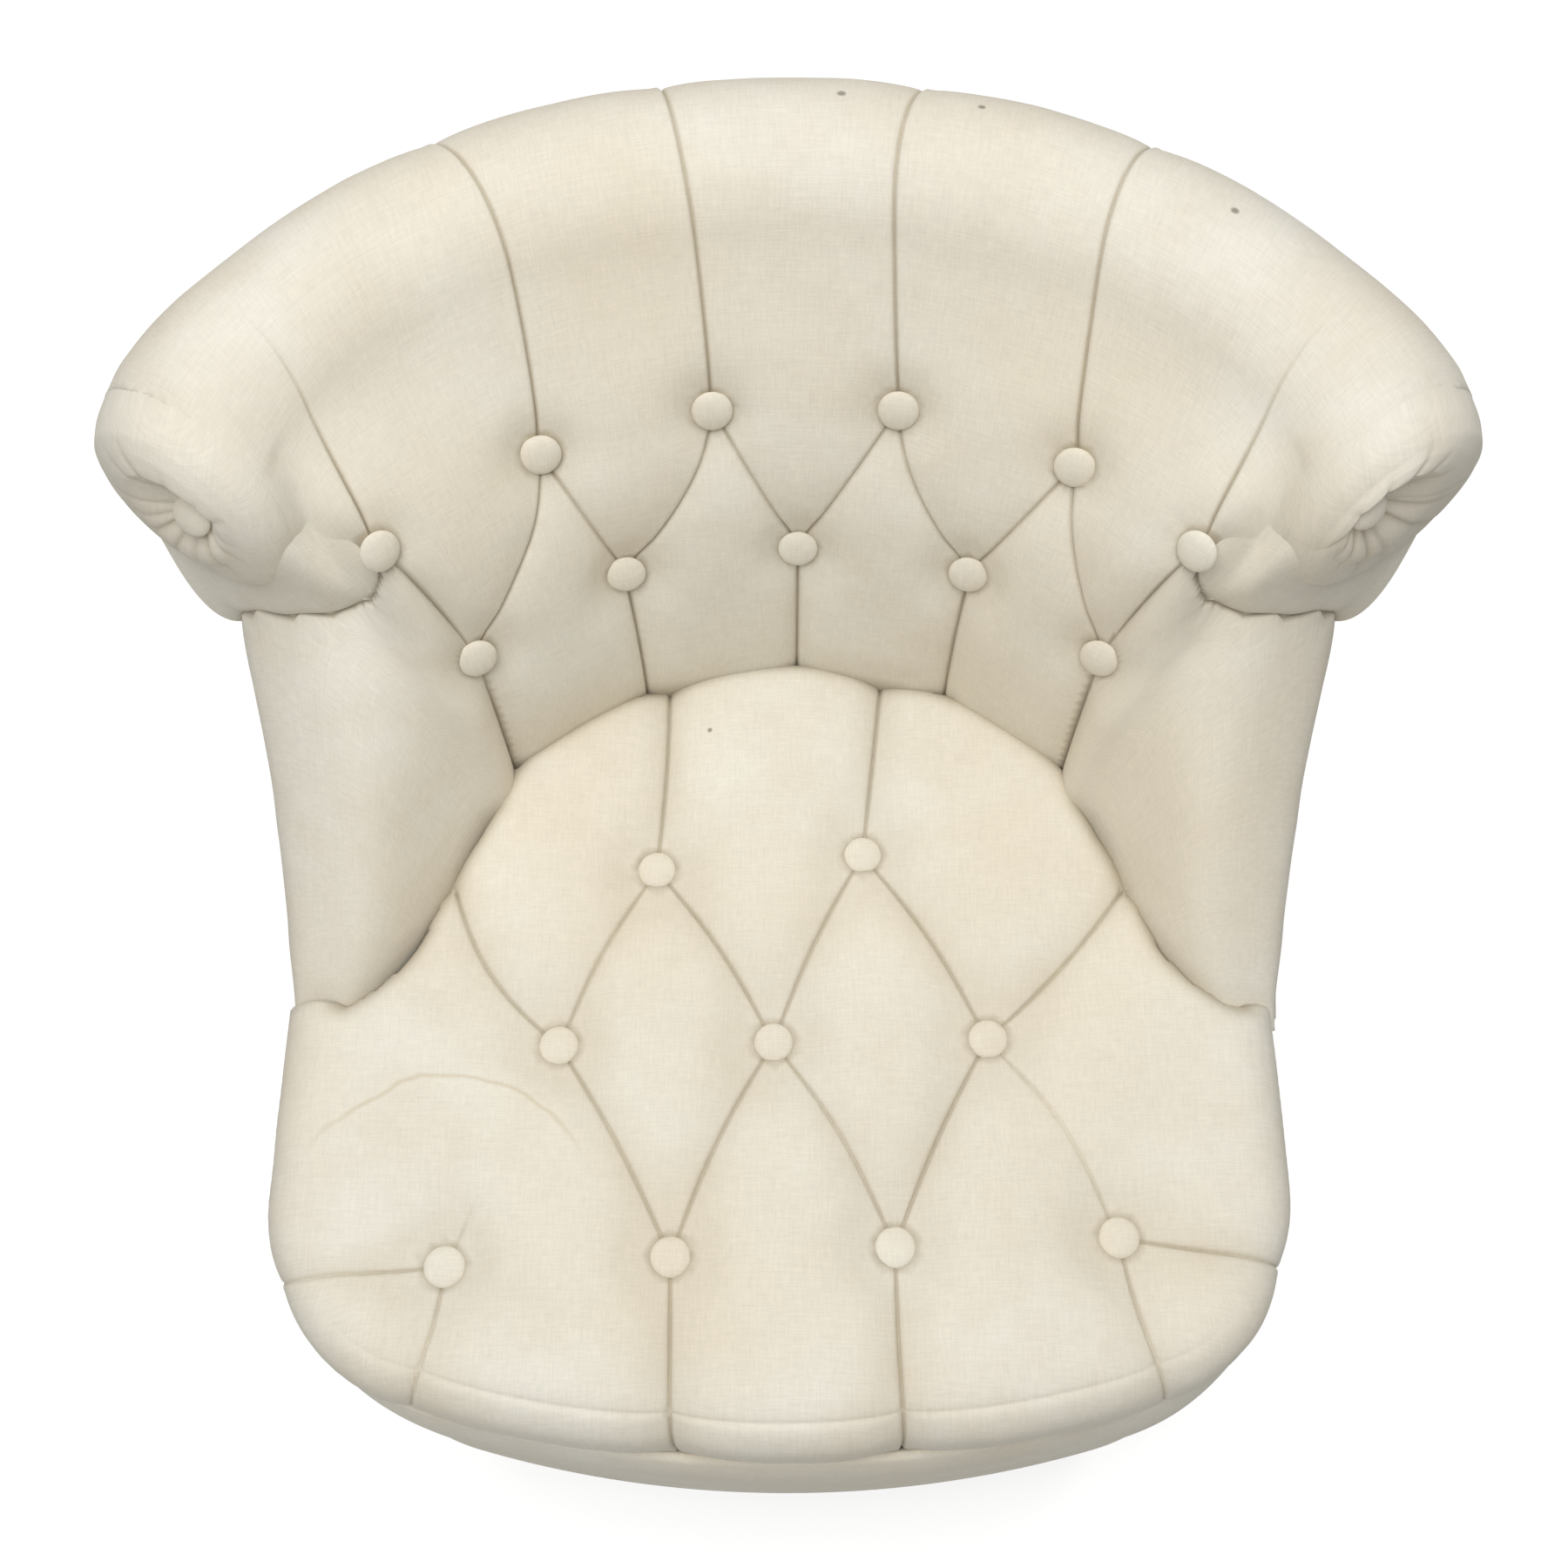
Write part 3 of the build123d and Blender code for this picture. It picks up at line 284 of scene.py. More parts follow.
lowerColumns = range(-innerColumn, innerColumn + 1, 2)
frontY = -shape["depth"] / 2
rollCentreY = shape["depth"] / 2 - shape["rollRadius"] - shape["rollHalfDepth"]
wellCentreY = rollCentreY + shape["rollHalfDepth"] - shape["wellClear"] - shape["wellHalfDepth"]


def columnAngle(u, turns):
    # degrees to a column on the back, how many columns turn so, and degrees to each one past them
    onBack, columns, past = turns
    steps = np.abs(u)
    return np.radians(onBack * np.minimum(steps, columns) + past * np.maximum(steps - columns, 0)) * np.sign(u)


def rollCentre(u):
    angle = columnAngle(u, shape["rollTurns"])
    reach = np.hypot(shape["rollHalfWidth"] * np.sin(angle), shape["rollHalfDepth"] * np.cos(angle))
    x = shape["rollHalfWidth"] ** 2 * np.sin(angle) / reach
    y = rollCentreY + shape["rollHalfDepth"] ** 2 * np.cos(angle) / reach
    full = columnAngle(lastColumn, shape["rollTurns"])
    drop = (1 - np.cos(angle)) / (1 - math.cos(full))
    return x, y, mix(shape["rollHeight"], shape["rollEndHeight"], drop)


def wellPoint(u):
    angle = columnAngle(u, shape["wellTurns"])
    return shape["wellHalfWidth"] * np.sin(angle), wellCentreY + shape["wellHalfDepth"] * np.cos(angle)


def backStations(u):
    x, y, height = rollCentre(u)
    fx, fy = wellPoint(u)
    reach = np.hypot(x - fx, y - fy)
    return {"fx": fx, "fy": fy, "dx": (x - fx) / reach, "dy": (y - fy) / reach, "reach": reach, "height": height}


def stationAt(u):
    return {key: float(value[0]) for key, value in backStations(np.array([float(u)])).items()}


def heelX(y):
    ahead = y - wellCentreY
    inside = shape["wellHalfWidth"] * np.sqrt(np.clip(1 - (ahead / shape["wellHalfDepth"]) ** 2, 0, 1))
    outside = shape["wellHalfWidth"] + shape["armHeelFlare"] * (ahead / shape["armHeelFront"]) ** 2
    return np.where(ahead >= 0, inside, outside)


def armStations(t):
    end = stationAt(lastColumn)
    footY = mix(end["fy"], wellCentreY - shape["armHeelFront"], t)
    footX = np.where(t > 0, heelX(footY), end["fx"])
    reach = end["reach"] + shape["armOverhang"]
    startX, startY = end["fx"] + end["dx"] * reach, end["fy"] + end["dy"] * reach
    way = (t + np.sin(t * math.pi / 2)) / 2
    x = mix(startX, shape["armFootHalf"], way) - shape["armWaist"] * np.sin(way * math.pi)
    y = mix(startY, wellCentreY - shape["armHeelFront"], way)
    reach = np.hypot(x - footX, y - footY)
    return {"fx": footX, "fy": footY, "dx": (x - footX) / reach, "dy": (y - footY) / reach, "reach": reach,
            "height": mix(shape["armTop"], shape["armFoot"], way), "way": way}


def joinedStations(w, steps):
    # stations on the inside back up to its last column and on the arm past it
    onArm = armStations(np.clip((w - lastColumn) / steps, 0, 1))
    onBack = backStations(np.minimum(w, lastColumn))
    both = {key: np.where(w <= lastColumn, onBack[key], onArm[key]) for key in ("fx", "fy", "dx", "dy")}
    return both, onBack, onArm


def placed(st, s, z):
    return np.stack([st["fx"] + st["dx"] * s, st["fy"] + st["dy"] * s, z], axis=1)


def baseDistance(st):
    # how far along a station the lower edge of the outside covers lies: a half ellipse with straight sides
    centre = wellCentreY + shape["baseBack"]
    a = (st["dx"] / shape["baseHalfWidth"]) ** 2 + (st["dy"] / shape["baseHalfDepth"]) ** 2
    b = 2 * (st["fx"] * st["dx"] / shape["baseHalfWidth"] ** 2
             + (st["fy"] - centre) * st["dy"] / shape["baseHalfDepth"] ** 2)
    c = (st["fx"] / shape["baseHalfWidth"]) ** 2 + ((st["fy"] - centre) / shape["baseHalfDepth"]) ** 2 - 1
    hit = (-b + np.sqrt(b * b - 4 * a * c)) / (2 * a)
    straight = (shape["baseHalfWidth"] - np.abs(st["fx"])) / np.maximum(np.abs(st["dx"]), 1e-6)
    return np.where(st["fy"] + hit * st["dy"] >= centre, hit, straight)


# measuring and meshing, in millimetres
meshing = {"pleatStep": 3.0, "lineStep": 5.0, "rowClear": 0.85, "cell": 0.45, "gridClear": 0.6, "weld": 1e-4,
           "rows": (0.5, 1.0, 1.8, 3.0, 4.8)}


def nearLine(points, line):
    # least distance from each point to a polyline, with the segment it falls on and the share along it
    best = np.full(len(points), 1e9)
    where = np.zeros(len(points), int)
    along = np.zeros(len(points))
    for i in range(len(line) - 1):
        a, b = line[i], line[i + 1]
        run = b - a
        share = np.clip(((points - a) @ run) / max(run @ run, 1e-12), 0, 1)
        gap = np.linalg.norm(points - a - share[:, None] * run, axis=1)
        closer = gap < best
        best = np.where(closer, gap, best)
        where = np.where(closer, i, where)
        along = np.where(closer, share, along)
    return best, where, along


def distances(line):
    return np.concatenate([[0], np.cumsum(np.linalg.norm(np.diff(line, axis=0), axis=1))])


def resample(line, step=1.0, count=None):
    # a line in equal steps, of about the length or of just the number asked for
    line = np.array(line, float)
    at = distances(line)
    picks = np.linspace(0, at[-1], count or max(2, int(at[-1] / step) + 1))
    return np.stack([np.interp(picks, at, line[:, k]) for k in range(line.shape[1])], axis=1)


def evened(line, rounds):
    # smooths a line of points, its ends held
    for step in range(rounds):
        line = np.vstack([line[:1], (line[:-2] + 2 * line[1:-1] + line[2:]) / 4, line[-1:]])
    return line


def hermite(a, b, ta, tb, x):
    return ((2 * x ** 3 - 3 * x ** 2 + 1) * a + (x ** 3 - 2 * x ** 2 + x) * ta
            + (-2 * x ** 3 + 3 * x ** 2) * b + (x ** 3 - x ** 2) * tb)


def bezier(a, b, c, d, x):
    return (1 - x) ** 3 * a + 3 * x * (1 - x) ** 2 * b + 3 * x ** 2 * (1 - x) * c + x ** 3 * d


def curveThrough(stops, count):
    # a smooth line through a few stops
    stops = np.array(stops, float)
    ends = np.vstack([2 * stops[0] - stops[1], stops, 2 * stops[-1] - stops[-2]])
    line = []
    for k in range(len(stops) - 1):
        p0, p1, p2, p3 = ends[k:k + 4]
        for x in np.linspace(0, 1, count, endpoint=k == len(stops) - 2):
            line.append(hermite(p1, p2, (p2 - p0) / 2, (p3 - p1) / 2, x))
    return np.array(line)


def insidePolygon(points, polygon):
    inside = np.zeros(len(points), bool)
    x, y = points[:, 0], points[:, 1]
    for (ax, ay), (bx, by) in zip(polygon, np.roll(polygon, -1, axis=0)):
        crosses = (ay > y) != (by > y)
        hit = ax + (y - ay) * (bx - ax) / ((by - ay) if by != ay else 1e-12)
        inside ^= crosses & (x < hit)
    return inside


def tree(points):
    kd = KDTree(len(points))
    for i, p in enumerate(points):
        kd.insert((p[0], p[1], 0), i)
    kd.balance()
    return kd


def nearest(kd, points):
    # the index of the nearest point in the tree, and its distance, for each point
    found = [kd.find((p[0], p[1], 0)) for p in points]
    return [f[1] for f in found], np.array([f[2] for f in found])


def besidePleats(centres, outline, kd):
    # rows of points beside the pleat lines, thinned out where rows meet
    picked = []
    for line in centres:
        run = np.gradient(line, axis=0)
        run /= np.linalg.norm(run, axis=1)[:, None]
        normal = np.stack([-run[:, 1], run[:, 0]], axis=1)
        for row in meshing["rows"]:
            for side in (-1, 1):
                beside = line + normal * side * row
                picked.append(beside[nearest(kd, beside)[1] > row * meshing["rowClear"]])
    picked = np.vstack(picked)
    cells = {}
    for p in picked[insidePolygon(picked, outline)]:
        cells.setdefault((round(p[0] / meshing["cell"]), round(p[1] / meshing["cell"])), p)
    return np.array(list(cells.values()))


def evenGrid(outline, spacing):
    # points at the corners of equal triangles, inside the outline
    low, high = outline.min(0), outline.max(0)
    rise = spacing * math.sqrt(3) / 2
    grid = []
    for j in range(int((high[1] - low[1]) / rise) + 1):
        for i in range(int((high[0] - low[0]) / spacing) + 1):
            grid.append((low[0] + (i + 0.5 * (j % 2)) * spacing, low[1] + j * rise))
    grid = np.array(grid)
    return grid[insidePolygon(grid, outline)]


def clothMesh(outline, lines, spacing):
    # triangles that fill a flat outline and run exactly along the pleat lines, closer together beside them
    outline = resample(np.vstack([outline, outline[:1]]), spacing)[:-1]
    centres = [resample(line, meshing["pleatStep"]) for line in lines]
    fixed = np.vstack([outline] + centres)
    kept = np.vstack([fixed, besidePleats(centres, outline, tree(fixed))])
    grid = evenGrid(outline, spacing)
    kept = np.vstack([kept, grid[nearest(tree(kept), grid)[1] > spacing * meshing["gridClear"]]])
    edges = [(i, (i + 1) % len(outline)) for i in range(len(outline))]
    start = len(outline)
    for line in centres:
        edges += [(start + i, start + i + 1) for i in range(len(line) - 1)]
        start += len(line)
    found = delaunay_2d_cdt([Vector((p[0], p[1])) for p in kept], edges, [], 0, meshing["weld"])
    flat = np.array([(p.x, p.y) for p in found[0]])
    faces = np.array(found[2])
    faces = faces[insidePolygon(flat[faces].mean(axis=1), outline)]
    used = np.unique(faces)
    renumber = np.full(len(flat), -1)
    renumber[used] = np.arange(len(used))
    return flat[used], renumber[faces]


def gridFaces(rowCount, count, closed=False):
    # four-sided faces between rows of equally many points
    faces = []
    for i in range(rowCount - 1):
        for j in range(count if closed else count - 1):
            a, b = i * count + j, i * count + (j + 1) % count
            faces.append((a, b, b + count, a + count))
    return np.array(faces)


def vertexNormals(points, faces):
    a, b, c = (points[faces[:, k]] for k in range(3))
    across = np.cross(b - a, c - a)
    normals = np.zeros_like(points)
    for k in range(3):
        np.add.at(normals, faces[:, k], across)
    return normals / np.maximum(np.linalg.norm(normals, axis=1), 1e-12)[:, None]


def turnedUp(points, faces, flat, spot):
    # turns the faces over where they look down at one spot of the cloth
    at = np.argmin(np.linalg.norm(flat - spot, axis=1))
    return faces[:, ::-1] if vertexNormals(points, faces)[at][2] < 0 else faces


def relaxed(points, faces, rounds, strength):
    # evens out a mesh inside its boundary
    edges = np.vstack([faces[:, [0, 1]], faces[:, [1, 2]], faces[:, [2, 0]]])
    single, counts = np.unique(np.sort(edges, axis=1), axis=0, return_counts=True)
    held = np.zeros(len(points), bool)
    held[single[counts == 1].ravel()] = True
    degree = np.bincount(single.ravel(), minlength=len(points))[:, None]
    for step in range(rounds):
        total = np.zeros_like(points)
        np.add.at(total, single[:, 0], points[single[:, 1]])
        np.add.at(total, single[:, 1], points[single[:, 0]])
        points = np.where(held[:, None], points, mix(points, total / degree, strength))
    return points


def newPiece(name, points, faces, cloth, creaseShade=None):
    # points in millimetres, cloth in millimetres of fabric, and the amount of painted shade at each point
    mesh = bpy.data.meshes.new(name)
    mesh.from_pydata((points * mm).tolist(), [], [list(map(int, f)) for f in faces])
    layer = mesh.uv_layers.new(name="cloth")
    layer.data.foreach_set("uv", (cloth[np.ravel(faces)] * mm).astype(np.float32).ravel())
    if creaseShade is not None:
        attribute = mesh.attributes.new("creaseShade", "FLOAT", "POINT")
        attribute.data.foreach_set("value", creaseShade.astype(np.float32))
    mesh.polygons.foreach_set("use_smooth", [True] * len(mesh.polygons))
    mesh.materials.append(linen)
    mesh.update()
    piece = bpy.data.objects.new(name, mesh)
    scene.collection.objects.link(piece)
    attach(piece, "root")
    return piece


def softPiece(name, mesh, nodeName, wall):
    piece = newPiece(name, mesh["points"], mesh["faces"], mesh["flat"], mesh.get("creaseShade"))
    if wall:
        modifier = piece.modifiers.new("wall", "SOLIDIFY")
        modifier.thickness = wall * mm
        modifier.offset = -1
    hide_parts(nodeName)


def ripple(p, scale, seed):
    # smooth seeded noise from a few crossing waves
    state = np.random.RandomState(seed)
    total = np.zeros(len(p))
    for i in range(7):
        way = state.normal(size=p.shape[1])
        way /= np.linalg.norm(way)
        total += np.sin(p @ way / scale * 2 * math.pi * (0.6 + 0.8 * state.rand()) + state.rand() * 7)
    return total / 7


# what the tufted covers share, in millimetres: the crease and its painted shade, the lip beside it, the gathers
# round a button, and the painted shade round a button and in the hollows
tufting = {
    "creaseShade": 0.85, "creasePower": 1.5, "lipAt": 2.6, "lipWidth": 2.0, "lipFull": 3.0,
    "gatherAt": 0.75, "gatherWidth": 0.45, "gatherLean": 0.7, "gathers": (3, 5, 8, 11), "seed": 40,
    "buttonEdge": 11.0, "ring": 0.6, "ringWidth": 2.2, "waves": ((60, 3, 1.0), (22, 5, 0.35)),
    "hollowShade": 0.16, "hollowFull": 1.6,
}


def foldedPleats(flat, base, pleats, look):
    # how the pleats hold the padding down, sink and lift one side, and the painted shade along them
    puff = np.ones(len(base))
    grooveShade, sink, lip = (np.zeros(len(base)) for k in range(3))
    for pleat in pleats:
        gap, where, along = nearLine(base, pleat["line"])
        stops = np.linspace(0, 1, len(pleat["strength"]))
        strength = np.interp((where + along) / (len(pleat["line"]) - 1), stops, pleat["strength"])
        a, b = pleat["flat"][where], pleat["flat"][where + 1]
        side = np.sign((b - a)[:, 0] * (flat - a)[:, 1] - (b - a)[:, 1] * (flat - a)[:, 0]) * pleat["side"]
        puff *= 1 - strength * np.exp(-gap / look["spread"]) * pleat.get("draw", 1)
        line = strength * np.exp(-(gap / tufting["creaseShade"]) ** tufting["creasePower"])
        grooveShade = np.maximum(grooveShade, line * pleat.get("dark", 1))
        sink = np.maximum(sink, line * pleat.get("deep", 1))
        beside = np.exp(-((gap - tufting["lipAt"]) / tufting["lipWidth"]) ** 2)
        lip += strength * np.where(side > 0, beside, 0)
    return puff, grooveShade, sink, lip


def drawnButtons(base, buttons, puff, look):
    # how the buttons hold the padding down and gather the cloth, with a ring of painted shade round each
    pull, ring = np.zeros(len(base)), np.zeros(len(base))
    at, width = look["dimple"] * tufting["gatherAt"], look["dimple"] * tufting["gatherWidth"]
    for k, button in enumerate(buttons):
        away = base - button
        r = np.linalg.norm(away, axis=1)
        puff = puff * (1 - np.exp(-(r / look["dimple"]) ** 2))
        near = np.exp(-((r - at) / width) ** 2)
        rows = near > 0.01
        turn = np.arctan2(away[rows, 1], away[rows, 0] + tufting["gatherLean"] * away[rows, 2])
        state = np.random.RandomState(tufting["seed"] + k)
        fold = sum(np.sin(turn * n + state.rand() * 7) * (0.5 + state.rand()) for n in tufting["gathers"]) / 3
        pull[rows] += fold * near[rows]
        past = np.maximum(r - tufting["buttonEdge"], 0) / tufting["ringWidth"]
        ring = np.maximum(ring, tufting["ring"] * np.exp(-past ** 2))
    return puff, pull, ring


def tuft(flat, faces, base, pleats, buttons, look, height):
    # lifts the padding between the pleats and draws it in under the buttons
    puff, grooveShade, sink, lip = foldedPleats(flat, base, pleats, look)
    puff, pull, ring = drawnButtons(base, buttons, puff, look)
    rise = look["puff"] * puff * height - look["depth"] * sink
    rise = rise + look["lip"] * lip * np.clip(puff * tufting["lipFull"], 0, 1) + look["pull"] * pull
    for scale, seed, share in tufting["waves"]:
        rise = rise + look["uneven"] * share * ripple(base, scale, seed) * puff
    # painted shade where the padding is held down, added to the painted shade in the creases and round the
    # buttons
    hollow = tufting["hollowShade"] * (1 - np.clip(puff * tufting["hollowFull"], 0, 1))
    creaseShade = np.clip(np.maximum(grooveShade * look["dark"], ring) + hollow, 0, 1)
    return base + vertexNormals(base, faces) * rise[:, None], creaseShade


print("shape tools ready")

# inside back and roll: one deep buttoned cover
backLook = {
    "puff": 11.5, "spread": 13.0, "depth": 2.6, "lip": 0.9, "dimple": 17.5, "pull": 0.5, "uneven": 0.5,
    # the darkening below is painted shade: in the creases, and low down where the back meets the seat
    "dark": 0.75, "spacing": 4.2, "columnWidth": 52.0, "footShade": 0.45, "footShadeTo": 22.0,
    # the section: the roll's radius and the degrees where the face, the cover's end and its tail meet it
    "rollBase": 56.0, "touch": 147.0, "under": 240.0, "back": -30.0, "tail": (12.0, 56.0), "tailBow": 1.3,
    "footReach": 0.3, "footRun": (3.0, 112.0), "belowSeat": 116.0, "upperLift": 3.0, "sag": (3.6, 6.0),
    # towards the arms: the upper row rises, and the roll draws in at its end and swells before it
    "endRise": 7.0, "endRiseFrom": 12.0, "endRiseOver": 9.0, "endRound": 0.3, "endDrop": 1.5,
    "endSwell": 6.0, "swellFrom": 4.3, "swellOver": 1.5,
    # where the padding grows thinner: start and length, in stops or for its ends in columns, then from and to
    "padUp": (1.6, 1.3, 1.25, 0.42), "padTail": (7.02, -0.5, 0, 1), "padFoot": (-0.1, 0.5, 0.35, 1),
    "padEnd": (5.1, 0.6, 1, 0.8),
    # how far the pleats over the roll bow to one side, in columns
    "rollBow": {-5: 0.3, -3: 0.2, -1: 0.0, 1: 0.2, 3: 0.25, 5: 0.3},
}
# along the section: below the seat, seat, lower row, upper row, roll, end of the roll, tail
profileStops = np.array([-0.2, 0, 1, 2, 3, 6, 7])
profileRuns = np.array([-24, 0, 116, 203, 308, 478, 520.0])  # mm of cloth


def faceCurve(st, v):
    # the face of the inside back, from the seat (0) over the lower (1) and upper buttons (2) to the roll (3)
    rho, touch = backLook["rollBase"], math.radians(backLook["touch"])
    reach, height = st["reach"], st["height"]
    rise = smooth((shape["rollHeight"] - height - backLook["endRiseFrom"]) / backLook["endRiseOver"])
    upperHeight = shape["upperRow"][1] + backLook["upperLift"] + backLook["endRise"] * rise
    s = [backLook["footReach"], shape["lowerRow"][0] * reach, shape["upperRow"][0] * reach,
         reach + rho * math.cos(touch)]
    z = [shape["seatMeet"], shape["lowerRow"][1], upperHeight, height + rho * math.sin(touch)]
    run = np.hypot(s[3] - s[2], z[3] - z[2])
    ts = [backLook["footRun"][0], (s[2] - s[0]) / 2, (s[3] - s[1]) / 2, run * math.sin(touch)]
    tz = [backLook["footRun"][1], (z[2] - z[0]) / 2, (z[3] - z[1]) / 2, -run * math.cos(touch)]
    outS = np.zeros_like(v) + s[0]
    outZ = z[0] + backLook["belowSeat"] * v
    for k in range(3):
        x = np.clip(v - k, 0, 1)
        outS = np.where(v >= k, hermite(s[k], s[k + 1], ts[k], ts[k + 1], x), outS)
        outZ = np.where(v >= k, hermite(z[k], z[k + 1], tz[k], tz[k + 1], x), outZ)
    return outS, outZ


def rollPoint(st, degreesTurn, inset):
    turn = np.radians(degreesTurn)
    radius = backLook["rollBase"] - inset
    return st["reach"] + radius * np.cos(turn), st["height"] + radius * np.sin(turn)


def rollInset(u, v, outer):
    over = backLook["endRound"]
    inset = backLook["endDrop"] * smooth((np.abs(u) - lastColumn + over) / over)
    swell = smooth((np.abs(u) - backLook["swellFrom"]) / backLook["swellOver"])
    return inset - backLook["endSwell"] * swell * mix(smooth((v - 3) / backLook["swellOver"]), 1, outer)


def backSurface(flat):
    u = flat[:, 0] / backLook["columnWidth"]
    v = np.interp(flat[:, 1], profileRuns, profileStops)
    st = backStations(u)
    s, z = faceCurve(st, np.minimum(v, 3))
    outer = smooth(np.abs(u) - outerColumn)
    inset = rollInset(u, v, outer)
    us, uz = rollPoint(st, mix(backLook["under"], backLook["touch"], np.clip(v - 2, 0, 1)), inset)
    sag = np.sin(math.pi * np.clip(np.abs(u) - outerColumn, 0, 1)) * np.clip(3 - v, 0, 1)
    s = mix(s, us, outer) - backLook["sag"][0] * sag
    z = mix(z, uz, outer) - backLook["sag"][1] * sag
    rs, rz = rollPoint(st, mix(backLook["touch"], backLook["back"], np.clip((v - 3) / 3, 0, 1)), inset)
    tail = np.clip(v - 6, 0, 1)
    out, drop = backLook["tail"]
    s = np.where(v > 3, rs, s) + (st["reach"] + out - rs) * tail ** backLook["tailBow"]
    z = np.where(v > 3, rz, z) + (st["height"] - drop - rz) * tail
    return placed(st, s, z)


def backLine(points):
    # a line given by column and section stop, in millimetres of cloth
    columns, stops = np.array(points, float).T
    return np.stack([columns * backLook["columnWidth"], np.interp(stops, profileStops, profileRuns)], axis=1)


def backPleat(points, strength, side, **more):
    flat = resample(backLine(points), meshing["lineStep"])
    return {"flat": flat, "line": backSurface(flat), "strength": strength, "side": side, **more}


# the buttons were set by hand, a little off their columns
lowerCells = [(-4, 1), (-1.91, 1), (0.11, 1), (2.12, 1.04), (4, 1)]
upperCells = [(-5, 2), (-2.62, 2), (-0.76, 2), (1.1, 2.03), (3.07, 2.03), (5, 2)]
buttonCells = lowerCells + upperCells
# the shared pleat is not sunk, and it carries painted shade along it
edgePleat = {"edge": True, "deep": 0, "dark": 0.7}  # a pleat that the back's and the arm's covers share


def leaning(high, low, bow):
    # leaves the upper button upright and swings over to the lower one
    return [(mix(high[0], low[0], x ** bow), mix(high[1], low[1], x)) for x in np.linspace(0, 1, 15)]


def overRoll(cell, k, stop):
    # leaves the button upright and drifts back to its own column over the roll
    bow = backLook["rollBow"][k] * math.copysign(1, k)
    reach = 0.55 if stop > 6 else 1.0
    line = []
    for x in np.linspace(0, 1, 24):
        aside = bow * math.sin(math.pi * min(x / reach, 1))
        line.append((mix(cell[0], k, smooth(x * 1.3)) - aside, mix(cell[1], stop, x)))
    return line


def crossPleat(k, high, e, low):
    # between an upper and a lower button
    if abs(k) == outerColumn:
        return backPleat(leaning(high, low, 1.0), [1, 1], np.sign(e - k), **edgePleat)
    bow = 1.7 if abs(e) > abs(k) else 1.05
    return backPleat(leaning(high, low, bow), [1, 0.6, 0.55, 0.6, 1], np.sign(e - k))


def footPleat(e, low):
    # from a lower button down to the seat
    side = 1 if e >= 0 else -1
    if abs(e) == innerColumn:
        return backPleat([low, (e, -0.2)], [1, 1], side, **edgePleat)
    return backPleat([low, (low[0] * 0.97, -0.2)], [1, 0.8, 0.8, 1], side)


def makeBackPleats():
    pleats = []
    for k, high in zip(upperColumns, upperCells):
        last = abs(k) == outerColumn
        stop, fade = (4.8, [1, 0.9, 0.5, 0.0, 0.0]) if last else (6.95, [1, 0.85, 0.8, 0.9, 0.9])
        pleats.append(backPleat(overRoll(high, k, stop), fade, -np.sign(k), draw=0.6))
        pleats += [crossPleat(k, high, e, low) for e, low in zip(lowerColumns, lowerCells) if abs(e - k) == 1]
    return pleats + [footPleat(e, low) for e, low in zip(lowerColumns, lowerCells)]


def backHeight(flat):
    # the padding is fullest low down, thin over the roll and flat at the seat and the tail
    v = np.interp(flat[:, 1], profileRuns, profileStops)
    height = passing(v, *backLook["padUp"]) * passing(v, *backLook["padTail"]) * passing(v, *backLook["padFoot"])
    return height * passing(np.abs(flat[:, 0]) / backLook["columnWidth"], *backLook["padEnd"])


def makeBack():
    right = [(innerColumn, -0.2), (innerColumn, 1), (outerColumn, 2), (lastColumn, 2), (lastColumn, 7)]
    pleats = makeBackPleats()
    inner = [p["flat"] for p in pleats if "edge" not in p]
    flat, faces = clothMesh(backLine([(-a, b) for a, b in right[::-1]] + right), inner, backLook["spacing"])
    base = backSurface(flat)
    faces = turnedUp(base, faces, flat, backLine([(0.4, 4)])[0])
    points, creaseShade = tuft(flat, faces, base, pleats, backButtonPoints, backLook, backHeight(flat))
    # painted shade low down, where the back meets the seat
    creaseShade = np.maximum(creaseShade, backLook["footShade"] * smooth(1 - flat[:, 1] / backLook["footShadeTo"]))
    return {"points": points, "faces": faces, "flat": flat, "creaseShade": creaseShade}


backButtonPoints = backSurface(backLine(buttonCells))
backMesh = makeBack()
print("inside back shaped:", len(backMesh["faces"]), "faces")

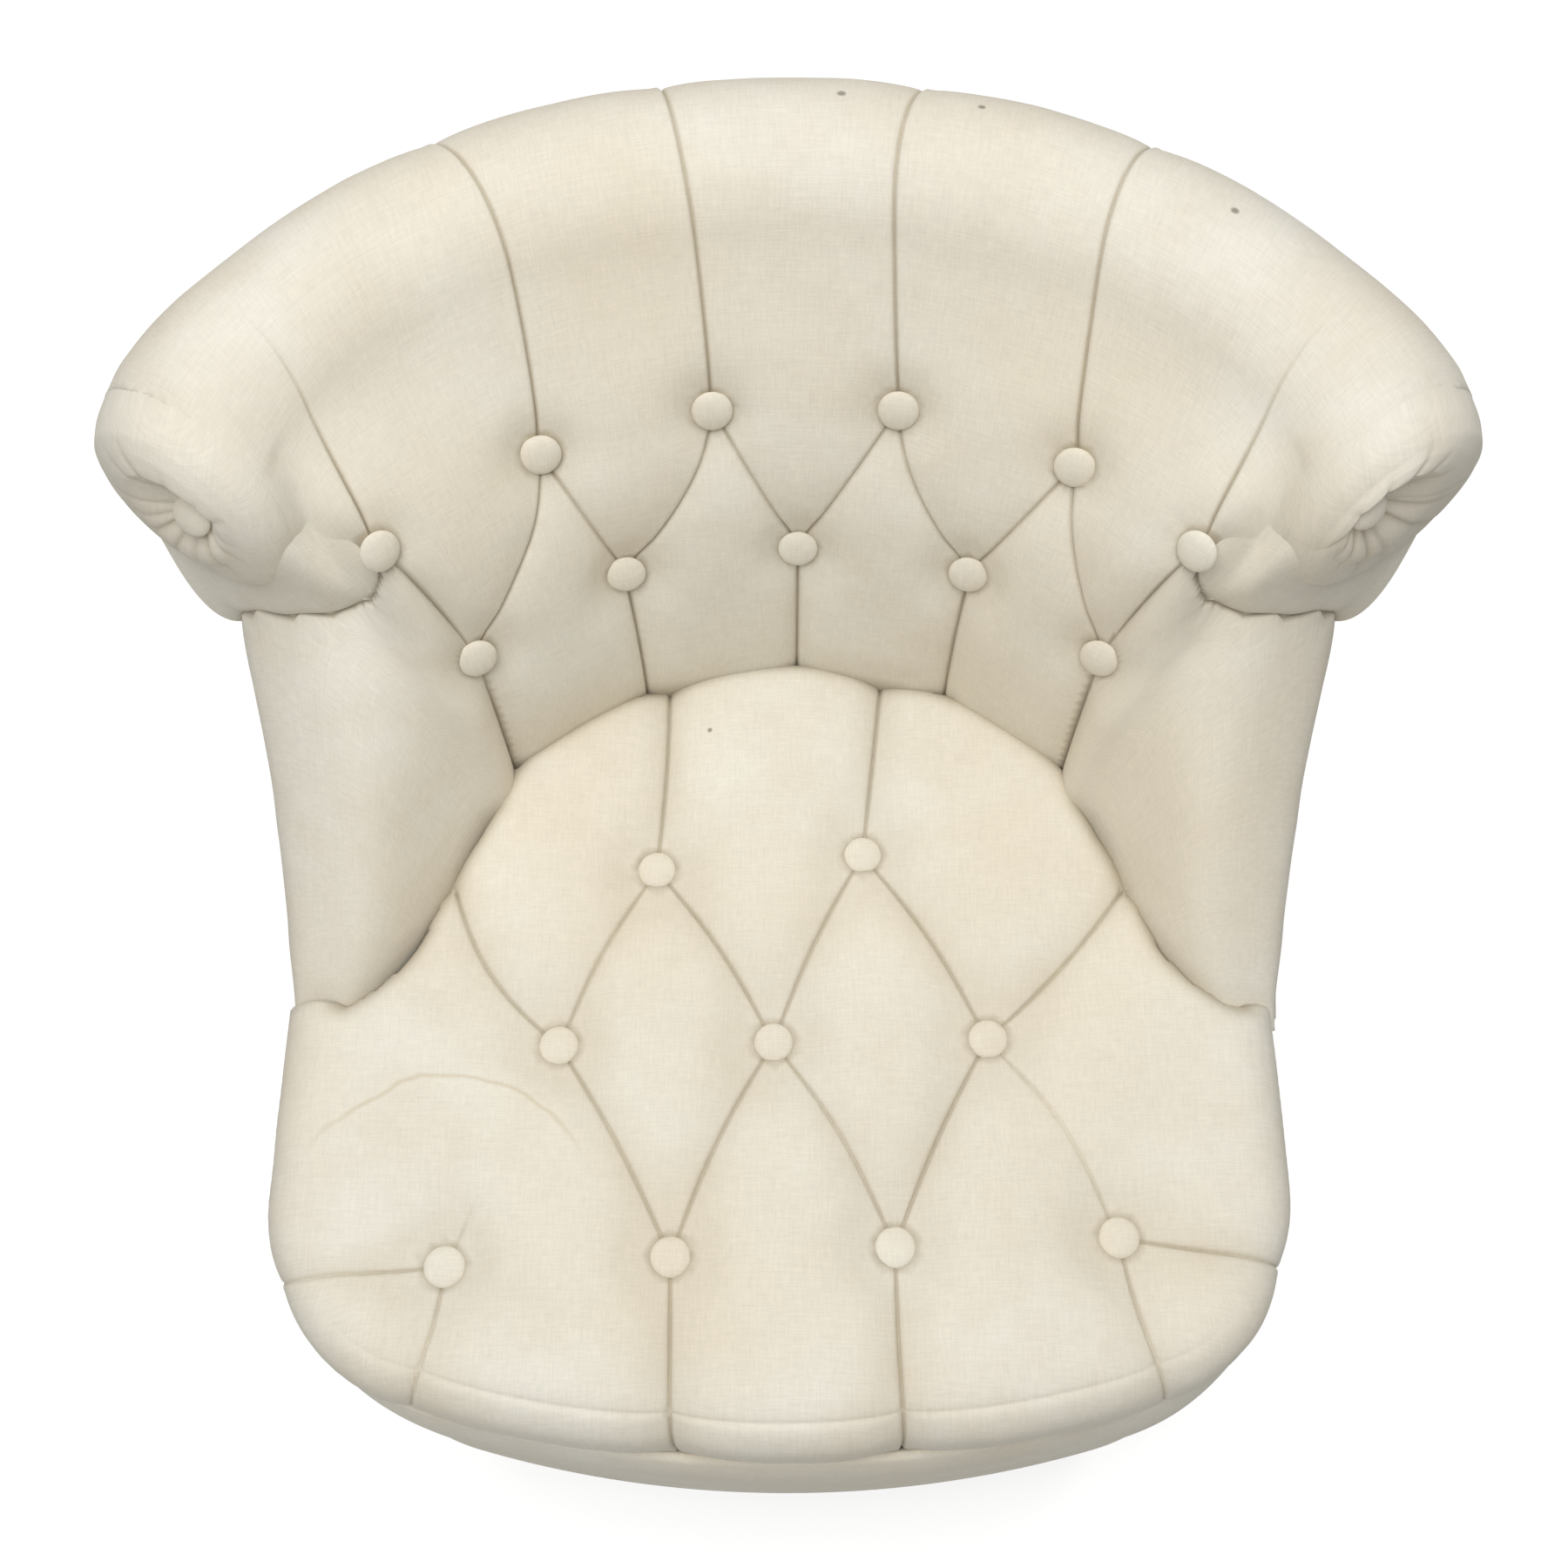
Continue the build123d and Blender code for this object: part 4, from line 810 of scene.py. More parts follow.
# inside arms: one smooth panel from the scroll pleat to the foot
armLook = {
    "puff": 11.5, "spread": 13.0, "depth": 2.4, "lip": 0.8, "dimple": 17.5, "pull": 0.4, "uneven": 0.6,
    # the darkening below is painted shade: in the creases, and along the lower edge where the arm meets the seat
    "dark": 0.7, "spacing": 4.2, "columnWidth": 45.0, "length": 255.0, "footShade": 0.4, "footShadeTo": 34.0,
    "steps": 3.0, "nose": 0.07, "noseOut": 9.0, "noseHeight": 414.0, "rounds": 60, "rounding": 0.7,
    # the section: where its inner corner lies at the back and at the foot, and how it turns over the top
    "inner": (46.0, 598.0), "innerFoot": (9.0, 439.0), "full": 0.93, "crown": 11.0, "crownEnd": 7.0,
    "meetIn": 0.3, "meetDrop": 3.0, "tuck": 0.06, "tuckDown": 18.0, "edge": 0.84, "sideOut": 2.5, "side": 20.5,
    "sideBow": 1.3, "faceBelow": 0.16, "joinOver": 1.1,
    # start and length, then from and to
    "overhangFade": (0.05, 0.6, 1, 0), "pad": (5, 1.2, 1.15, 0.35),
    # along the arm, in columns counted on from the inside back's: place and millimetres
    "outward": ((6, 3), (6.4, 6), (7.5, 7), (8.2, 3), (9, -2)),
    "overhang": ((4.2, 0), (4.9, 4), (5.6, 8), (6.4, 8.5), (6.9, 4), (7.4, -2), (8, -8), (9.4, -10)),
    "footShift": -2.0, "hidden": 7.0, "hiddenOver": 10.0,
    # the pleat under the scroll, as places along and across the arm
    "scrollPleat": ((5, 1), (5.3, 0.8), (5.65, 0.67), (5.95, 0.63), (6.17, 0.7), (6.27, 0.82), (6.3, 0.93),
                    (6.3, 1)),
}
armWidth = (2 + armLook["steps"] * (1 + armLook["nose"])) * armLook["columnWidth"]


def alongArm(name, w):
    stops = np.array(armLook[name])
    return np.interp(w, stops[:, 0], stops[:, 1])


def armRib(w, q, onBack, onArm):
    # a soft convex section: the tucked edge, the inside wall that turns over the top, and the outer side
    way, full, tuck, edge = onArm["way"], armLook["full"], armLook["tuck"], armLook["edge"]
    onBackHere = w <= lastColumn
    armReach = onArm["reach"] + alongArm("outward", w)
    reach = np.where(onBackHere, onBack["reach"] + shape["armOverhang"], armReach)
    height = np.where(onBackHere, shape["armTop"], onArm["height"])
    overhang = alongArm("overhang", w)
    meet = (armLook["meetIn"] - overhang, shape["seatMeet"] - armLook["meetDrop"] * way)
    inner = [mix(armLook["inner"][k], armLook["innerFoot"][k], way) for k in range(2)]
    crown = armLook["crownEnd"] + armLook["crown"] * np.sin(way * math.pi) ** 2
    x = np.clip((q - tuck) / (edge - tuck), 0, 1)
    beyond = np.clip((q - edge) / (1 - edge), 0, 1)
    s = bezier(meet[0], mix(meet[0], inner[0] - overhang, full), mix(reach, inner[0], full), reach, x)
    z = bezier(meet[1], mix(meet[1], inner[1], full), mix(height, inner[1], full) + crown, height, x)
    s = s + armLook["sideOut"] * np.sin(beyond * math.pi / 2)
    z = z - armLook["tuckDown"] * np.clip(1 - q / tuck, 0, 1) - armLook["side"] * beyond ** armLook["sideBow"]
    return s, z


def armSurface(flat):
    w = flat[:, 0] / armLook["columnWidth"] + innerColumn
    q = np.clip(flat[:, 1] / armLook["length"], 0, 1)
    st, onBack, onArm = joinedStations(w, armLook["steps"])
    s, z = armRib(w, q, onBack, onArm)
    # towards the inside back it takes up the face between the lower and upper buttons
    tuck = armLook["tuck"]
    above = (1 + np.clip(w - innerColumn, 0, 1)) * (q - tuck) / (1 - tuck)
    fs, fz = faceCurve(onBack, np.where(q < tuck, (q / tuck - 1) * armLook["faceBelow"], above))
    fs = fs - alongArm("overhang", w) * passing(q, *armLook["overhangFade"])
    joined = smooth((w - outerColumn) / armLook["joinOver"])
    points = placed(st, mix(fs, s, joined), mix(fz, z, joined))
    # the rounded nose at the foot
    past = (w - lastColumn - armLook["steps"]) / (armLook["nose"] * armLook["steps"])
    nose = np.clip(past, 0, 1) * math.pi / 2
    points[:, 1] -= armLook["noseOut"] * np.sin(nose)
    points[:, 2] = armLook["noseHeight"] + (points[:, 2] - armLook["noseHeight"]) * np.cos(nose * 0.999)
    return points


def armPleats(scrollLine, scrollPoints):
    length, width = armLook["length"], armLook["columnWidth"]
    pleats = []
    for line in ([(0, 0), (0, length)], [(0, length), (width, length)]):
        line = resample(line, meshing["lineStep"])
        pleats.append({"flat": line, "line": armSurface(line), "strength": [1, 1], "side": 0, **edgePleat})
    pleats.append({"flat": scrollLine, "line": scrollPoints, "strength": [1, 1], "side": 0, "draw": 0.6})
    return pleats


def makeArm():
    # the right arm's panel, and the seam that the cover under the scroll starts from
    length, width = armLook["length"], armLook["columnWidth"]
    outline = np.array([(0, 0), (armWidth, 0), (armWidth, length), (0, length)], float)
    scrollPath = (curveThrough(armLook["scrollPleat"], 10) - [innerColumn, 0]) * [width, length]
    scrollPath = resample(scrollPath, meshing["pleatStep"])
    scrollLine = resample(scrollPath, meshing["pleatStep"])
    flat, faces = clothMesh(outline, [scrollPath], armLook["spacing"])
    base = relaxed(armSurface(flat), faces, armLook["rounds"], armLook["rounding"])
    scrollAt = nearest(tree(flat), scrollLine)[0]
    w, q = flat[:, 0] / width + innerColumn, flat[:, 1] / length
    faces = turnedUp(base, faces, flat, [armWidth * 0.6, 180])
    buttons = armSurface(np.array([(0, length), (width, length)], float))
    pleats = armPleats(scrollLine, base[scrollAt])
    points, creaseShade = tuft(flat, faces, base, pleats, buttons, armLook, passing(w, *armLook["pad"]))
    # painted shade along the lower edge, where the arm meets the seat
    creaseShade = np.maximum(creaseShade, armLook["footShade"] * smooth(1 - flat[:, 1] / armLook["footShadeTo"]))
    # under the scroll's cover the panel drops away
    normals = vertexNormals(base, faces)
    stops = np.array(armLook["scrollPleat"])
    above = (q >= np.interp(w, stops[:, 0], stops[:, 1])) & (w > outerColumn) & (w < stops[-1, 0])
    drop = armLook["hidden"] * smooth(nearLine(base, base[scrollAt])[0] / armLook["hiddenOver"])
    points = points - normals * np.where(above, drop, 0)[:, None]
    return {"points": points, "faces": faces, "flat": flat, "creaseShade": creaseShade,
            "shift": armLook["footShift"] * smooth((w - lastColumn) / armLook["steps"]),
            "seam": evened(base[scrollAt], 14), "seamOut": evened(normals[scrollAt], 30)}


def mirrored(mesh, side):
    # the feet of both arms stand a little to the same side
    points = mesh["points"] * [side, 1, 1]
    points[:, 0] += mesh["shift"]
    return {**mesh, "points": points, "faces": mesh["faces"][:, ::side]}


armMesh = makeArm()
print("inside arms shaped")

# gathered scroll ends
scrollLook = {
    "spokes": 220, "rings": 64, "gathers": 13, "fold": 1.9, "columnRun": 48.8, "buttonDepth": 17.0, "tilt": 0.55,
    "gatherReach": (24.0, 30.0), "gatherFade": 12.0, "gatherWidth": (1.2, 0.04), "gatherLeast": 5.0,
    # the gathers' darkening is painted shade in their folds
    "hollow": 34.0, "gatherShade": 0.35, "darkFrom": (9, 6, 0, 1), "capCloth": 0.3,
    "shiftFrom": 57.0, "shiftOver": 50.0, "seed": 8,
    "full": 13.0, "fullTurn": 0.1, "fullShare": 0.6, "fullRadius": 45.0, "fullFrom": 4.0, "fullOver": 18.0,
    # where the cover under the ball leaves the roll, as columns and stops, and then the end, in degrees
    "leaveRoll": ((5.0, 2.0), (5.2, 2.3), (5.45, 2.5), (5.75, 2.65), (5.95, 2.75)),
    "leaveTurn": ((0.3, 165), (0.45, 200), (0.6, 235), (0.75, 268), (0.88, 298), (1, 325)), "leaveTo": 0.4,
    "leaveRadius": 53.0, "leaveUnder": 1.5, "leaveLean": (-0.72, 0.68), "inward": {-1: 1.0, 1: 5.0},
    # the skirt's darkening is painted shade along its seam
    "skirtOut": 0.9, "skirtLip": 1.2, "skirtPull": 0.9, "skirtRows": 28, "skirtCloth": 60.0, "skirtShade": 0.6,
    # along the cover: start and length as shares of it, then from and to
    "skirtLean": (0.12, 0.45, 0.3, 1), "skirtGrow": (0, 0.12, 0, 1), "toEnd": (0.22, 0.22, 0, 1),
    # radius and height of the profile, from the rim that lies on the roll to the floor under the button
    "profile": ((61.5, -17), (63.4, -12), (64.6, -6), (64.8, 0), (62.8, 7), (57.6, 13.5), (49, 18.5), (40, 21.4),
                (32, 22.6), (26, 22.2), (20.5, 20.6), (16, 18.4), (12.5, 17), (9, 16.6), (0, 16.6)),
    # how far the button sits from the middle of the end: along the arm and upwards
    "shift": {-1: (-17.0, 15.0), 1: (-30.0, 28.0)},
}
frontward = np.array([0.0, -1.0, 0.0])
up = np.array([0.0, 0.0, 1.0])


def scrollFrame(side):
    # the middle of the roll's end, the way it faces, the way across it and how far its button is shifted
    st = stationAt(lastColumn)
    out = np.array([st["dy"], -st["dx"], 0.0])
    across = np.array([st["dx"], st["dy"], 0.0])
    centre = np.array([st["fx"] + st["dx"] * st["reach"], st["fy"] + st["dy"] * st["reach"], st["height"]])
    sideways, upwards = scrollLook["shift"][side]
    return {"centre": centre, "out": out, "across": across, "shift": across * sideways + up * upwards}


def offCentre(side, r):
    end = scrollFrame(side)
    share = min(max((scrollLook["shiftFrom"] - r) / scrollLook["shiftOver"], 0.0), 1.0)
    return (end["shift"] - end["out"] * scrollLook["inward"][side]) * share


def fullness(r, h, turns):
    # how far the stuffing pushes the end out, most on its outer side
    outer = np.cos(turns - scrollLook["fullTurn"]) * smooth(r / scrollLook["fullRadius"])
    share = scrollLook["fullShare"] + (1 - scrollLook["fullShare"]) * outer
    return scrollLook["full"] * smooth((h + scrollLook["fullFrom"]) / scrollLook["fullOver"]) * share


def skirtOnRoll(a):
    # where the cover leaves the roll, and the way it runs there
    leave = np.array(scrollLook["leaveRoll"])
    knots = np.linspace(0, scrollLook["leaveTo"], len(leave))
    flat = backLine(np.stack([np.interp(a, knots, leave[:, 0]), np.interp(a, knots, leave[:, 1])], axis=1))
    finder = tree(backMesh["flat"])
    inside = backMesh["points"] - vertexNormals(backMesh["points"], backMesh["faces"])
    ends, ahead = (evened(inside[nearest(finder, line)[0]], 10) for line in (flat, flat + [0, 14]))
    runs = ahead - ends
    return ends, runs / np.linalg.norm(runs, axis=1)[:, None]


def skirtOnEnd(side, angle):
    # where the cover passes under the gathered end, and the way it runs there
    end = scrollFrame(side)
    r, profile = scrollLook["leaveRadius"], np.array(scrollLook["profile"])[::-1]
    h = np.interp(r, profile[:, 0], profile[:, 1])
    radial = end["across"] * math.cos(angle) + up * math.sin(angle)
    point = (end["centre"] + radial * r + offCentre(side, r) + end["out"] * (h - scrollLook["leaveUnder"])
             + frontward * fullness(r, h, angle))
    inward, outward = scrollLook["leaveLean"]
    return point, inward * radial + outward * end["out"]


def skirtRow(a, start, startOut, end, run):
    # one line of the cover, from the pleat across the arm up to the ball
    size = np.linalg.norm(end - start)
    lean = scrollLook["skirtOut"] * passing(a, *scrollLook["skirtLean"])
    outward = mix((end - start) / max(size, 1e-6), startOut, lean)
    outward *= size * passing(a, *scrollLook["skirtGrow"]) / max(np.linalg.norm(outward), 1e-6)
    x = np.linspace(0, 1, scrollLook["skirtRows"])[:, None]
    run = run * size * scrollLook["skirtPull"]
    return hermite(start + startOut * scrollLook["skirtLip"], end, outward, run, x)


def scrollSkirt(side):
    # the cover under the ball
    seam, seamOut, count = armMesh["seam"], armMesh["seamOut"], scrollLook["skirtRows"]
    places = np.linspace(0, 1, len(seam))
    rollEnds, rollRuns = skirtOnRoll(places)
    turns = np.array(scrollLook["leaveTurn"])
    rows = []
    for i, a in enumerate(places):
        onCap, capRun = skirtOnEnd(side, math.radians(np.interp(a, turns[:, 0], turns[:, 1])))
        share = passing(a, *scrollLook["toEnd"])
        end, run = mix(rollEnds[i], onCap, share), mix(rollRuns[i], capRun, share)
        rows.append(skirtRow(a, seam[i], seamOut[i], end, run))
    runs = distances(np.array(rows)[:, count // 2])
    across = np.linspace(0, scrollLook["skirtCloth"], count)
    cloth = np.stack([np.repeat(runs, count), np.tile(across, len(seam))], axis=1)
    # painted shade along the seam, under the ball
    creaseShade = np.tile(scrollLook["skirtShade"] * np.exp(-np.arange(count) / 0.8), len(seam))
    points, faces = np.vstack(rows), gridFaces(len(seam), count)
    if (vertexNormals(points, faces) @ [0, -0.3, 1.0]).mean() < 0:
        faces = faces[:, [0, 3, 2, 1]]
    return points * [side, 1, 1], faces if side > 0 else faces[:, [0, 3, 2, 1]], cloth, creaseShade


def gatheredDrop(r, turns, folds):
    # how deep the folds lie on one ring
    drop = np.zeros(len(turns))
    narrow, wider = scrollLook["gatherWidth"]
    for place, depth, reach in zip(*folds):
        gap = np.abs((turns - place + math.pi) % (2 * math.pi) - math.pi) * max(r, scrollLook["gatherLeast"])
        fade = np.clip((reach + scrollLook["gatherFade"] - r) / reach, 0, 1)
        drop += depth * fade ** 0.8 * np.exp(-(gap / (narrow + r * wider)) ** 1.4)
    return drop


def scrollEnd(side):
    # rings from the rim on the roll to the floor under the button
    out = scrollFrame(side)["out"]
    state = np.random.RandomState(scrollLook["seed"] + side)
    profile = resample(evened(resample(scrollLook["profile"]), 4))
    picks = np.linspace(0, len(profile) - 1, scrollLook["rings"]).astype(int)
    turns = np.linspace(0, 2 * math.pi, scrollLook["spokes"], endpoint=False)
    gathers, (shortest, more) = scrollLook["gathers"], scrollLook["gatherReach"]
    places = (np.arange(gathers) + state.rand(gathers) * 0.6) / gathers * 2 * math.pi
    folds = (places, 0.45 + state.rand(gathers), shortest + more * state.rand(gathers))
    points, cloth, creaseShade = [], [], []
    for r, h in profile[picks]:
        st = backStations(np.full(len(turns), lastColumn + min(h, 0) / scrollLook["columnRun"]))
        ring = placed(st, st["reach"] + r * np.cos(turns), st["height"] + r * np.sin(turns))
        drop = gatheredDrop(r, turns, folds)
        tilt = r * np.sin(turns) * scrollLook["tilt"] * max(0.0, 1 - r / scrollLook["hollow"]) ** 0.7
        ring += offCentre(side, r) + frontward * fullness(r, h, turns)[:, None]
        ring += out * (max(h, 0) - drop * scrollLook["fold"] - tilt)[:, None]
        points.append(ring * [side, 1, 1])
        cloth.append(np.stack([r * np.cos(turns) + h * scrollLook["capCloth"], r * np.sin(turns)], axis=1))
        # painted shade in the folds of the gathers
        dark = scrollLook["gatherShade"] * passing(r, *scrollLook["darkFrom"])
        creaseShade.append(np.clip(drop * dark, 0, 1))
    faces = gridFaces(len(picks), len(turns), closed=True)[:, [0, 3, 2, 1] if side > 0 else [1, 2, 3, 0]]
    return np.vstack(points), faces, np.vstack(cloth), np.concatenate(creaseShade)


def endMesh(side):
    points, faces, cloth, creaseShade = scrollEnd(side)
    more, moreFaces, moreCloth, moreCrease = scrollSkirt(side)
    faces = np.vstack([faces, moreFaces + len(points)])
    return {"points": np.vstack([points, more]), "faces": np.vstack([faces[:, :3], faces[:, [0, 2, 3]]]),
            "flat": np.vstack([cloth, moreCloth]), "creaseShade": np.concatenate([creaseShade, moreCrease])}


softPiece("insideBackCover", backMesh, "inside_back", 3.0)
for side, name in ((-1, "left"), (1, "right")):
    softPiece("insideArmCover_" + name, mirrored(armMesh, side), "inside_arm_" + name, 3.0)
    softPiece("scrollEndCover_" + name, endMesh(side), "scroll_end_" + name, 0)
print("inside back, arms and scroll ends made")

# tufted seat
seatLook = {
    "puff": 17.0, "spread": 17.0, "depth": 2.4, "lip": 0.8, "dimple": 22.0, "pull": 0.6, "uneven": 0.8,
    # the darkening below is painted shade: in the creases, and at the rear where the seat meets the back and the
    # arms
    "dark": 0.46, "spacing": 4.6, "level": 426.0, "camber": 2.0, "edgeRadius": 26.0, "seam": 385.0,
    "underSeam": 3.0,
    "halfWidth": 282.0, "frontGap": 5.0, "bow": 26.0, "bowHalf": 190.0, "rim": 6.0, "sideShift": -5.0,
    "sideGrow": 4.0,
    "column": 123.0, "frontRow": 108.0, "row": 119.0, "armFront": -97.5, "rearEnd": 200.0, "rearMeet": 1.5,
    "rearRound": 15.0, "rearDrop": 14.0, "rearShade": 0.8, "rearShadeTo": 8.0, "flatFrom": 150.0,
    # the rows of buttons as set by hand: how far each one is off to the side and forward, and how it slants
    "drift": ((-3.0, -1.5, 0.043), (-8.5, -0.5, 0.016), (-17.0, -7.0, 0.08)),
    # the crease where the top turns down at the front
    "turnedOut": 12.0, "turnedFrom": -262.0,
    # where the padding grows thinner, below the rim and above the seam: over a length, then from and to
    "padRim": (-22.0, 1.0, 0.42), "padSeam": (16.0, 0.25, 1), "camberHalf": 280.0, "step": 4.0,
}
topGrow = -seatLook["edgeRadius"] - seatLook["rim"]
quarter = seatLook["edgeRadius"] * math.pi / 2
belowEdge = seatLook["level"] - seatLook["edgeRadius"] - seatLook["seam"] + seatLook["underSeam"]
bottomGrow = topGrow + quarter + belowEdge
frontEdge = frontY + seatLook["frontGap"] - bottomGrow


def seatOutline(grow, rear):
    # from the right side round the front to the left side
    half = seatLook["bowHalf"]
    slope = 2 * math.atan(seatLook["bow"] / half)
    arc = half / math.sin(slope)
    front = frontY + seatLook["frontGap"] - grow
    corner = (seatLook["halfWidth"] + grow - half) / (1 - math.sin(slope))
    right = [(arc * math.sin(a), front + arc * (1 - math.cos(a))) for a in np.linspace(0, slope, 40)]
    for a in np.linspace(slope, math.pi / 2, 40)[1:]:
        right.append((half + corner * (math.sin(a) - math.sin(slope)),
                      front + seatLook["bow"] + corner * (math.cos(slope) - math.cos(a))))
    right = np.array(right + [(seatLook["halfWidth"] + grow, rear)])
    right[:, 0] *= 1 + seatLook["sideGrow"] / seatLook["halfWidth"]
    return np.vstack([right[::-1], right[1:] * [-1, 1]]) + [seatLook["sideShift"], 0]


def rearLine():
    # where the seat meets the inside back and the arms, from right to left
    w = np.linspace(lastColumn + armLook["steps"], 0, 145)
    st = joinedStations(w, armLook["steps"])[0]
    right = placed(st, seatLook["rearMeet"] - alongArm("overhang", w), w)[:, :2]
    return np.vstack([right, (right[:-1] * [-1, 1])[::-1]])


topOutline = resample(seatOutline(topGrow, seatLook["rearEnd"]), seatLook["step"])
heel = rearLine()


def seatSurface(flat):
    # level inside the top's outline, then round the edge and down
    gap, where, along = nearLine(flat, topOutline)
    run = topOutline[where + 1] - topOutline[where]
    foot = topOutline[where] + run * along[:, None]
    leftOf = run[:, 0] * (flat - foot)[:, 1] - run[:, 1] * (flat - foot)[:, 0]
    outside = (leftOf > 0) & (flat[:, 1] < seatLook["flatFrom"])
    d = np.where(outside, gap, 0)
    turn = np.minimum(d, quarter) / seatLook["edgeRadius"]
    outward = (flat - foot) / np.maximum(gap, 1e-9)[:, None]
    plan = np.where(outside[:, None], foot + outward * seatLook["edgeRadius"] * np.sin(turn)[:, None], flat)
    level = seatLook["level"] + seatLook["camber"] * (1 - (flat[:, 0] / seatLook["camberHalf"]) ** 2)
    z = level - seatLook["edgeRadius"] * (1 - np.cos(turn)) - np.maximum(d - quarter, 0)
    return np.column_stack([plan, z])


def seatButtonRow(count, row):
    aside, ahead, slant = seatLook["drift"][row]
    y = frontY + seatLook["frontGap"] + seatLook["frontRow"] + row * seatLook["row"]
    places = [(i - (count - 1) / 2) * seatLook["column"] for i in range(count)]
    return np.array([(x + aside, y + ahead + x * slant) for x in places])


frontRow, middleRow, rearRow = seatButtonRow(4, 0), seatButtonRow(3, 1), seatButtonRow(2, 2)
seatButtonFlat = np.vstack([frontRow, middleRow, rearRow])

# from, to, bow to one side in millimetres, strength along the pleat, and the side of its lip
seatPleatList = (
    (middleRow[0], frontRow[1], 3, [1, 0.8, 1], 1), (middleRow[1], frontRow[1], -4, [1, 0.9, 1], -1),
    (middleRow[1], frontRow[2], 5, [1, 0.7, 1], 1), (middleRow[2], frontRow[2], -3, [1, 1, 1], -1),
    (middleRow[2], frontRow[3], 6, [0.7, 0.35, 0.8], 1),
    (rearRow[0], middleRow[0], -3, [1, 0.75, 0.9], -1), (rearRow[0], middleRow[1], 4, [1, 0.9, 1], 1),
    (rearRow[1], middleRow[1], -3, [1, 0.9, 1], -1), (rearRow[1], middleRow[2], 4, [1, 0.9, 1], 1),
    # to the back and the arms
    (rearRow[0], (-74, 126), -2, [1, 1, 1], 1), (rearRow[1], (59, 128), 0, [1, 1, 1], -1),
    (middleRow[0], (-197, -25), 10, [1, 0.8, 0.9], 1), (middleRow[2], (197, -25), -4, [1, 0.9, 0.9], -1),
    # over the sides and the front
    (frontRow[0], (-312, -252), 2, [1, 0.6, 0.2], 1), (frontRow[3], (312, -246), -2, [1, 0.8, 0.3], -1),
    (frontRow[1], (-62, frontEdge), 0, [1, 1, 1], 1), (frontRow[2], (65, frontEdge), -2, [1, 1, 1], -1),
    (frontRow[0], (-212, frontEdge + 36), 6, [1, 0.6, 0.5], 1),
    (frontRow[3], (214, frontEdge + 36), -6, [1, 0.7, 0.5], -1),
    # a short wrinkle behind the left button
    (frontRow[0], frontRow[0] + [18, 38], 0, [0.8, 0.0], 1),
)


def swung(a, b, bow):
    # a line from a to b that swings to one side by bow millimetres
    a, b = np.array(a, float), np.array(b, float)
    run = b - a
    normal = np.array([-run[1], run[0]]) / np.linalg.norm(run)
    return [tuple(a + run * x + normal * bow * math.sin(math.pi * x)) for x in np.linspace(0, 1, 13)]


def seatPleat(points, strength, side, **more):
    flat = resample(points, meshing["lineStep"])
    return {"flat": flat, "line": seatSurface(flat), "strength": strength, "side": side, **more}


def makeSeat():
    pleats = [seatPleat(swung(a, b, bow), strength, side) for a, b, bow, strength, side in seatPleatList]
    turned = seatOutline(topGrow + seatLook["turnedOut"], seatLook["rearEnd"])
    turned = turned[turned[:, 1] < seatLook["turnedFrom"]]
    # the crease where the top turns down at the front, sunk a little and with a little painted shade
    pleats.append(seatPleat(turned, [0, 0.5, 0.7, 0.7, 0.7, 0.5, 0], 1, deep=0.35, dark=0.3, draw=0.4))
    domain = np.vstack([seatOutline(bottomGrow, seatLook["armFront"]), heel[::-1]])
    flat, faces = clothMesh(domain, [p["flat"] for p in pleats], seatLook["spacing"])
    base = seatSurface(flat)
    faces = turnedUp(base, faces, flat, [0, 0])
    height = (passing(base[:, 2], seatLook["level"], *seatLook["padRim"])
              * passing(base[:, 2], seatLook["seam"], *seatLook["padSeam"]))
    points, creaseShade = tuft(flat, faces, base, pleats, seatSurface(seatButtonFlat), seatLook, height)
    rear = nearLine(flat, heel)[0]
    x = np.clip(1 - rear / seatLook["rearRound"], 0, 1)
    points[:, 2] -= seatLook["rearDrop"] * (1 - np.sqrt(1 - x ** 2)) * (base[:, 2] > seatLook["level"] - 4)
    # painted shade where the seat meets the back and the arms
    creaseShade = np.clip(creaseShade + seatLook["rearShade"] * np.exp(-(rear / seatLook["rearShadeTo"]) ** 2), 0, 1)
    return {"points": points, "faces": faces, "flat": flat, "creaseShade": creaseShade}


seatMesh = makeSeat()
softPiece("seatCover", seatMesh, "seat_pad", 3.0)
print("seat made:", len(seatMesh["faces"]), "faces")

# covered buttons
buttonLook = {"radius": 11.5, "dome": 4.6, "rim": 3.0, "lift": -1.2, "skirt": ((0.6, 0.93), (0.4, 0.8)),
              "cut": 0.1, "seatHeight": 425.0, "endHeight": 16.0, "endTurn": 0.15, "lowSlope": 0.8}


def buttonModel():
    bpy.ops.object.select_all(action="DESELECT")
    bpy.ops.mesh.primitive_uv_sphere_add(segments=40, ring_count=20, radius=buttonLook["radius"] * mm)
    model = bpy.context.active_object
    bpy.ops.object.mode_set(mode="EDIT")
    bpy.ops.mesh.select_all(action="SELECT")
    bpy.ops.transform.resize(value=(1, 1, buttonLook["dome"] / buttonLook["radius"]))
    bpy.ops.mesh.bisect(plane_co=(0, 0, buttonLook["cut"] * mm), plane_no=(0, 0, 1), clear_inner=True,
                        use_fill=True)
    for share, narrower in buttonLook["skirt"]:
        down = (0, 0, -buttonLook["rim"] * share * mm)
        bpy.ops.mesh.extrude_region_move(TRANSFORM_OT_translate={"value": down})
        bpy.ops.transform.resize(value=(narrower, narrower, 1))
    bpy.ops.mesh.select_all(action="SELECT")
    bpy.ops.mesh.normals_make_consistent(inside=False)
    bpy.ops.object.mode_set(mode="OBJECT")
    bpy.ops.object.shade_smooth()
    return model


